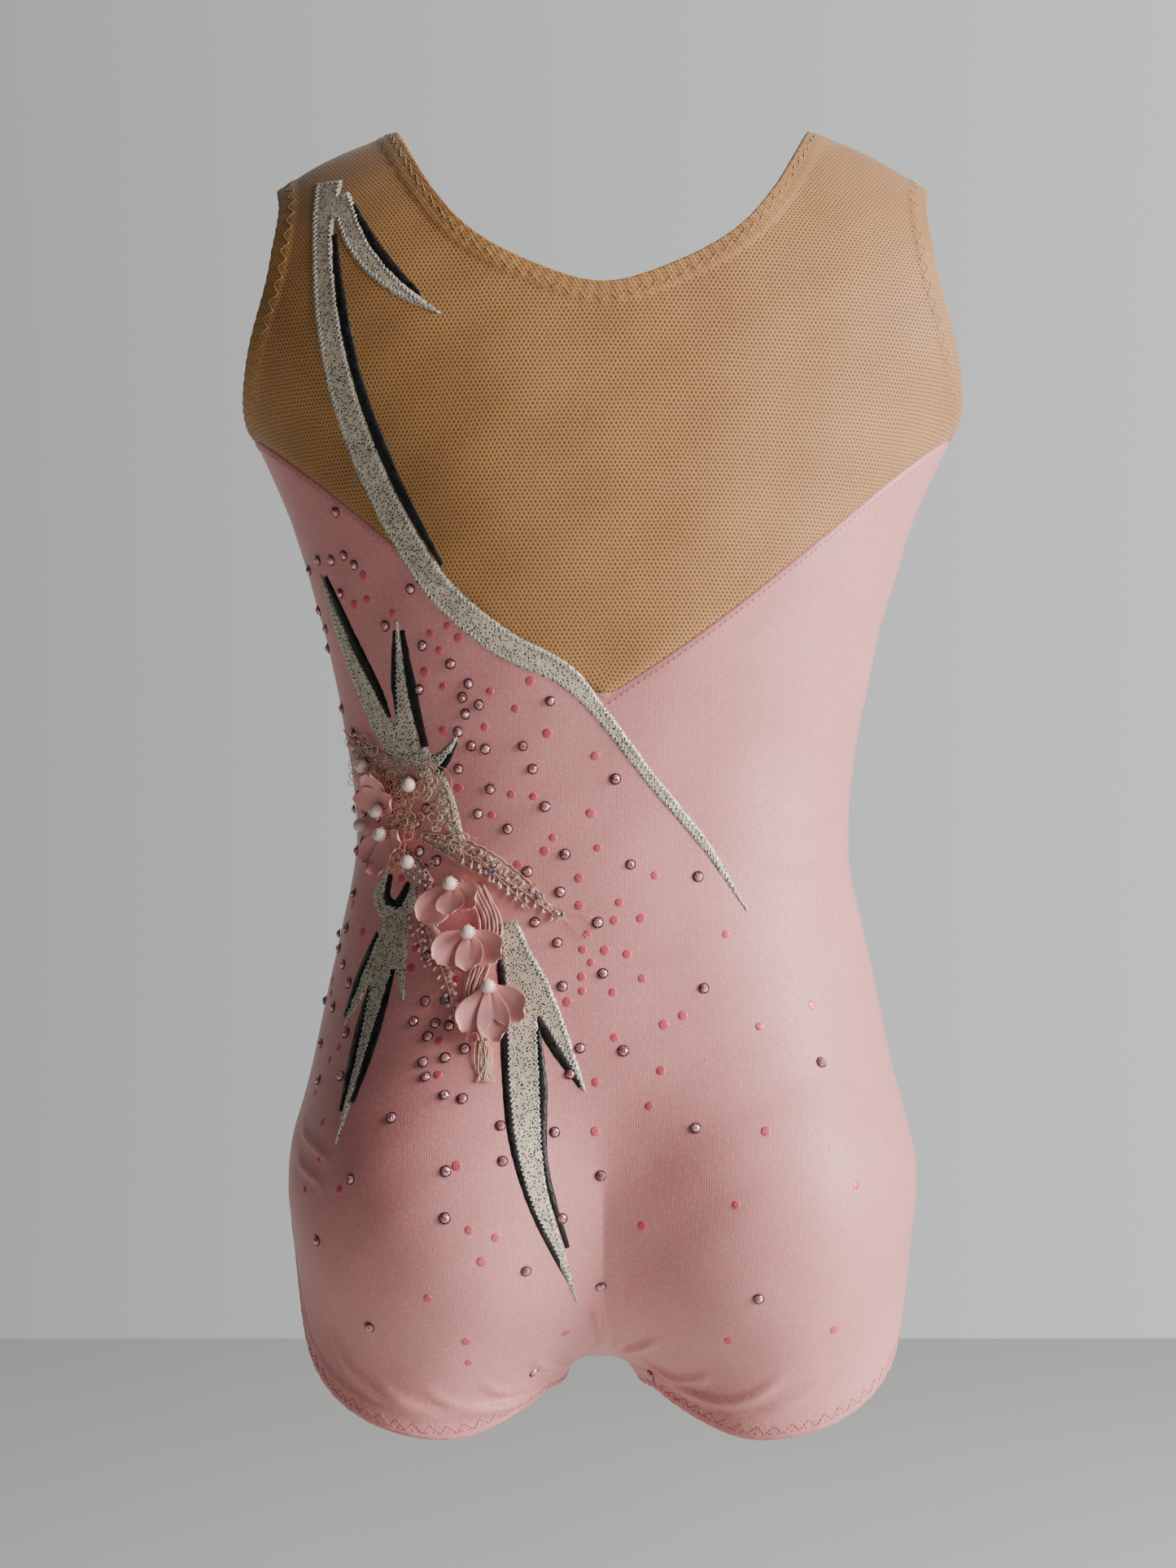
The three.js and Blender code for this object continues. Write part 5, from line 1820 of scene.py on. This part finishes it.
STRAY_THREADS = [[(-104, -252), (-110, -262), (-113, -266)], [(-101, -262), (-109, -271)],
                 [(-96, -281), (-104, -288), (-108, -287)], [(-66, -300), (-58, -296), (-50, -299)],
                 [(-30, -322), (-18, -326), (-4, -330)], [(-28, -324), (-16, -330), (-6, -338)],
                 [(-70, -333), (-78, -338), (-84, -336)], [(-57, -364), (-52, -371), (-54, -379)],
                 [(-70, -268), (-62, -272), (-60, -282)], [(-74, -272), (-66, -280), (-66, -288)]]
strays = Build()
for line in STRAY_THREADS:
    pts, up = path_on_cloth(line, 1.0, 18)
    wave = np.sin(np.linspace(0, 9, len(pts)))[:, None] * 0.35
    add_tube(strays, pts + up * wave, 0.16, 5, up)
strays.piece("loose_threads", ROSE_THREAD, slot="gold_thread")

# Loops of frayed lace, heaped round the roots of the flowers: place, reach and how many. A loop
# is drawn from turns (radians) and shares of its size.
LOOP = ((0, 0.1), (0.5, 0.9), (1.2, 1.2), (2.2, 0.9), (3.0, 0.3))
TANGLES = [((-98, -262), 6, 16), ((-72, -276), 7, 22), ((-84, -304), 6, 16), ((-64, -292), 6, 14),
           ((-58, -302), 6, 12), ((-101, -274), 5, 10), ((-82, -282), 9, 30), ((-80, -292), 8, 26)]
tangle = Build()
for (x, z), reach, count in TANGLES:
    for i in range(count):
        turn = RNG.uniform(0, 2 * math.pi)
        size = reach * RNG.uniform(0.4, 1)
        start = (x + RNG.normal(0, reach * 0.35), z + RNG.normal(0, reach * 0.45))
        loop = [(start[0] + size * 0.5 * math.cos(turn + a) * b,
                 start[1] + size * 0.5 * math.sin(turn + a) * b)
                for a, b in LOOP]
        pts, up = path_on_cloth(loop, 1.0 + 0.25 * (i % 5), 16)
        if len(pts) > 5:
            lift = np.sin(np.linspace(0, math.pi, len(pts)))[:, None] * RNG.uniform(0.2, 1.1)
            add_tube(tangle, pts + up * lift, RNG.uniform(0.13, 0.24), 5, up)
tangle.piece("frayed_lace", GOLD_THREAD, slot="gold_thread")

spray_beads = Build()
bead_row(spray_beads, [(-100, -270), (-92, -282), (-80, -292), (-70, -304)], 0.6, 2.9, 1.3, 1.4)
bead_row(spray_beads, [(-84, -300), (-76, -308), (-70, -312)], 0.7, 2.2, 1.6, 1.0)
spray_beads.piece("spray_beads", DARK_BEAD, slot="pink_glass")
sequin_build = Build()
for x, z in [(-25, -322), (-17, -329), (-44, -312), (-62, -364), (-98, -277), (-68, -309)]:
    base, up = BACK_SIDE.at(np.array([(x, z)], float))
    stand(sequin_build, SEQUIN_SHAPE, frame_at(base[0], unit(up[0] + RNG.normal(0, 0.15, 3))),
          (1.5, 1.5, 0.9), 1.3)
sequin_build.piece("sequins", SEQUIN, slot="pink_glass")


# ------------------------------------------------------------------ pearls and flowers

def pearl_shape(radius):
    """A drilled bead: round, with a dimpled hole at each side where the thread goes in."""
    rings, around = 14, 20
    points, faces = ball(rings, around)
    polar = np.arccos(np.clip(points[:, 2], -1, 1))
    dimple = np.exp(-(np.minimum(polar, math.pi - polar) / 0.2) ** 2)
    return points * (radius * (1 - 0.16 * dimple))[:, None], faces


# The tie thread out of a pearl's hole: pearl radii out from its centre, and mm down.
PEARL_TIE = [(0.8, 0), (1.02, 0), (1.08, 0.9), (0.95, 2.1)]
TIE_THREAD = 0.16


def add_pearl(name, frame, base, body):
    """A pearl lying on its side on the cloth, tied down through its hole."""
    origin, axes = frame
    tipped = np.stack([axes[2], axes[1], axes[0]])
    centre = origin + axes[2] * (base + PEARL_RADIUS)
    build = Build()
    stand(build, pearl_shape(PEARL_RADIUS), (centre, tipped))
    build.piece(name, PEARL, body=body, slot="pearl", nodes=[name])
    tie = Build()
    for way in (-1, 1):
        points = [centre + axes[0] * way * PEARL_RADIUS * far - axes[2] * drop
                  for far, drop in PEARL_TIE]
        add_tube(tie, points, TIE_THREAD, 6, np.tile(axes[1], (4, 1)))
    tie.piece(name + "_tie", GOLD_THREAD, body=body, slot="gold_thread")


PEARL_BASES = (0.5, 0.4, 0.4, 0.5)
for i, (place, base_height) in enumerate(zip(LOOSE_PEARLS, PEARL_BASES)):
    base, up = BACK_SIDE.at(np.array([place], float))
    add_pearl("waist_pearl_%d" % (i + 1), frame_at(base[0], up[0], 0.5 + i), base_height,
              "leotard")

# Heights above the body, as in the CAD.
PETAL_BASE = 3.05
PEARL_ON_HEART = 4.1
PETAL_LIFT = 5
PETAL_CUP = 1.5
PETAL_CLOTH = 0.22
# Chiffon taken up in a petal's cup, and the points across and along it.
PETAL_FULLNESS = 1.28
PETAL_POINTS = (17, 25)
PETAL_ROOT = 0.6


def petal_net(length, width, seed, base, lift):
    """One heat-curled petal in its flower's frame: along x, across y, up z."""
    u = np.linspace(-1, 1, PETAL_POINTS[0])[None, :]
    v = np.linspace(0, 1, PETAL_POINTS[1])[:, None]
    notch = 0.05 * np.exp(-(u / 0.2) ** 2) + 0.12 * np.abs(u) ** 2.5
    half = width / 2 * PETAL_FULLNESS * np.sin(math.pi * (0.05 + 0.87 * v ** 1.25)) ** 0.62
    x = PETAL_ROOT + (length - PETAL_ROOT) * v * (1 - notch * v ** 3)
    y = u * half * (1 + 0.03 * np.sin(v * 7 + seed))
    ruffle = 0.4 * np.sin(v * 8 + seed * 2.1 + 2 * np.sign(u)) * np.abs(u) ** 2.5 * v
    curl = 1.3 * np.maximum(0, v - 0.6) ** 2 * 4 * np.cos(u * 1.1 + seed)
    crease = -0.4 * np.exp(-(u / 0.16) ** 2) * (1 - v)
    cup = PETAL_CUP * 1.2 * np.abs(u) ** 2.2 * v
    z = base + lift * v ** 1.3 + cup + ruffle + curl * v + crease
    return np.stack([x, y, z], -1), np.maximum(smooth((np.abs(u) - 0.9) / 0.1) + 0 * v,
                                               smooth((v - 0.95) / 0.05) + 0 * u)


HEART_LOOPS = 12
HEART_THREAD = 0.42
HEART_SIDES = 6
# One loop of the heart: distance out from the middle, and height.
HEART_LOOP = [(0.4, 2.9), (1.7, 3.3), (2.5, 3.7), (2.2, 4.3), (1.2, 4.2)]
BODY_BACK = Surface([back_yoke_net, back_body_net])


def flower(number, at, heading, petals):
    """Heart, petals and pearl of one flower; all of it swings on the flower's own body."""
    origin, normal = (found[0] for found in BODY_BACK.at(np.array([at], float)))
    side = unit(np.cross(normal, (heading[0], 0, heading[1])))
    forward = np.cross(side, normal)
    axes = np.stack([forward, side, normal])
    body = "flower_%d_spray" % number
    build = Build()
    rim = []
    for k, (angle, length, width) in enumerate(petals):
        over = k % 2
        net, edge_share = petal_net(length, width, number * 3 + k, PETAL_BASE + 0.3 + 0.35 * over,
                                    PETAL_LIFT * (0.75 + 0.25 * over))
        turn = math.radians(angle)
        c, s = math.cos(turn), math.sin(turn)
        spun = np.stack([net[..., 0] * c - net[..., 1] * s, net[..., 0] * s + net[..., 1] * c,
                         net[..., 2]], -1)
        placed = spun @ axes + origin
        build.add(*shell(placed + normal * PETAL_CLOTH, placed))
        rim += [edge_share.ravel()] * 2
    for k in range(HEART_LOOPS):
        turn = 2 * math.pi * k / HEART_LOOPS + number
        out = np.array((math.cos(turn), math.sin(turn), 0))
        local = spline([out * far + (0, 0, height) for far, height in HEART_LOOP], 4)
        add_tube(build, local @ axes + origin, HEART_THREAD, HEART_SIDES,
                 np.tile(side, (len(local), 1)))
        rim.append(np.full(len(local) * HEART_SIDES + 2, 0.35))
    name = "flower_%d" % number
    made = build.piece(name, CHIFFON, body=body, slot="chiffon", nodes=[name])
    add_attribute(made, "rim", np.concatenate(rim))
    add_pearl("flower_pearl_%d" % number, (origin, axes), PEARL_ON_HEART, body)


for number, (at, heading, petals) in enumerate(FLOWERS, 1):
    flower(number, at, heading, petals)


# ------------------------------------------------------------------ floor, light and camera

# Metres from here on.
FLOOR_Z = -0.9
FLOOR_SIDE = 6
FLOOR_NEAR = -3
FLOOR_FAR = 1.513
floor_mesh = bpy.data.meshes.new("floor")
corners = [(-FLOOR_SIDE, FLOOR_NEAR), (FLOOR_SIDE, FLOOR_NEAR), (FLOOR_SIDE, FLOOR_FAR),
           (-FLOOR_SIDE, FLOOR_FAR)]
floor_mesh.from_pydata([(x, y, FLOOR_Z) for x, y in corners], [], [(0, 1, 2, 3)])
floor = bpy.data.objects.new("floor", floor_mesh)
bpy.context.scene.collection.objects.link(floor)
pale = Graph("pale_floor", Roughness=0.7)
pale.set("Base Color", pale.mix(pale.noise(pale.place(), 3, 2), linear(222, 225, 220),
                                linear(230, 232, 228)))
floor_mesh.materials.append(pale.material)

world = bpy.data.worlds.new("studio")
bpy.context.scene.world = world
world.use_nodes = True
sky = world.node_tree
# Brightness of the room behind and ahead, its least, and what its right side adds.
ROOM_DIM = 0.12
ROOM_BRIGHT = 0.98
ROOM_LEAST = 0.05
ROOM_RIGHT = 0.22
# Brightness of the wall that the camera sees, with painted light that grows towards the right: at
# its middle, and its least and most.
BACKDROP = 0.95
BACKDROP_RANGE = (0.6, 1.25)


def sky_math(operation, a, b):
    node = sky.nodes.new("ShaderNodeMath")
    node.operation = operation
    for socket, value in zip(node.inputs, (a, b)):
        if isinstance(value, bpy.types.NodeSocket):
            sky.links.new(value, socket)
        else:
            socket.default_value = value
    return node.outputs[0]


# The pale room lights the part from beyond it and the right; the camera sees a wall with painted
# light, brighter towards the right.
direction = sky.nodes.new("ShaderNodeSeparateXYZ")
sky.links.new(sky.nodes.new("ShaderNodeTexCoord").outputs["Generated"], direction.inputs[0])
ahead_share = sky_math("MAXIMUM", direction.outputs["Y"], 0.0)
right_share = sky_math("MULTIPLY", direction.outputs["X"], ROOM_RIGHT)
bright = sky_math("ADD", sky_math("MULTIPLY", ahead_share, ROOM_BRIGHT - ROOM_DIM), right_share)
lighting = sky_math("MAXIMUM", sky_math("ADD", bright, ROOM_DIM), ROOM_LEAST)
# Painted light on the wall: its brightness grows towards the right.
backdrop = sky_math("ADD", direction.outputs["X"], BACKDROP)
backdrop = sky_math("MAXIMUM", backdrop, BACKDROP_RANGE[0])
backdrop = sky_math("MINIMUM", backdrop, BACKDROP_RANGE[1])
seen = sky.nodes.new("ShaderNodeLightPath").outputs["Is Camera Ray"]
unseen = sky_math("SUBTRACT", 1.0, seen)
strength = sky_math("ADD", sky_math("MULTIPLY", lighting, unseen),
                    sky_math("MULTIPLY", backdrop, seen))
background = sky.nodes["Background"]
background.inputs["Color"].default_value = linear(211, 214, 212)
sky.links.new(strength, background.inputs["Strength"])


def area_light(name, place, target, size, power, tint):
    data = bpy.data.lights.new(name, "AREA")
    data.shape = "RECTANGLE"
    data.size, data.size_y = size
    data.energy = power
    data.color = tint
    lamp = bpy.data.objects.new(name, data)
    lamp.location = place
    lamp.rotation_euler = (Vector(target) - Vector(place)).to_track_quat("-Z", "Y").to_euler()
    bpy.context.scene.collection.objects.link(lamp)


area_light("window", place=(1.95, -0.8, 0.35), target=(0, 0, -0.28), size=(1.2, 1.6), power=108,
           tint=(1.0, 0.985, 0.96))

camera_data = bpy.data.cameras.new("camera")
camera_data.lens = 50
camera_data.sensor_width = 36
camera = bpy.data.objects.new("camera", camera_data)
camera.location = (-0.006, -0.934, -0.277)
camera.rotation_euler = (math.pi / 2, 0, 0)
bpy.context.scene.collection.objects.link(camera)
bpy.context.scene.camera = camera
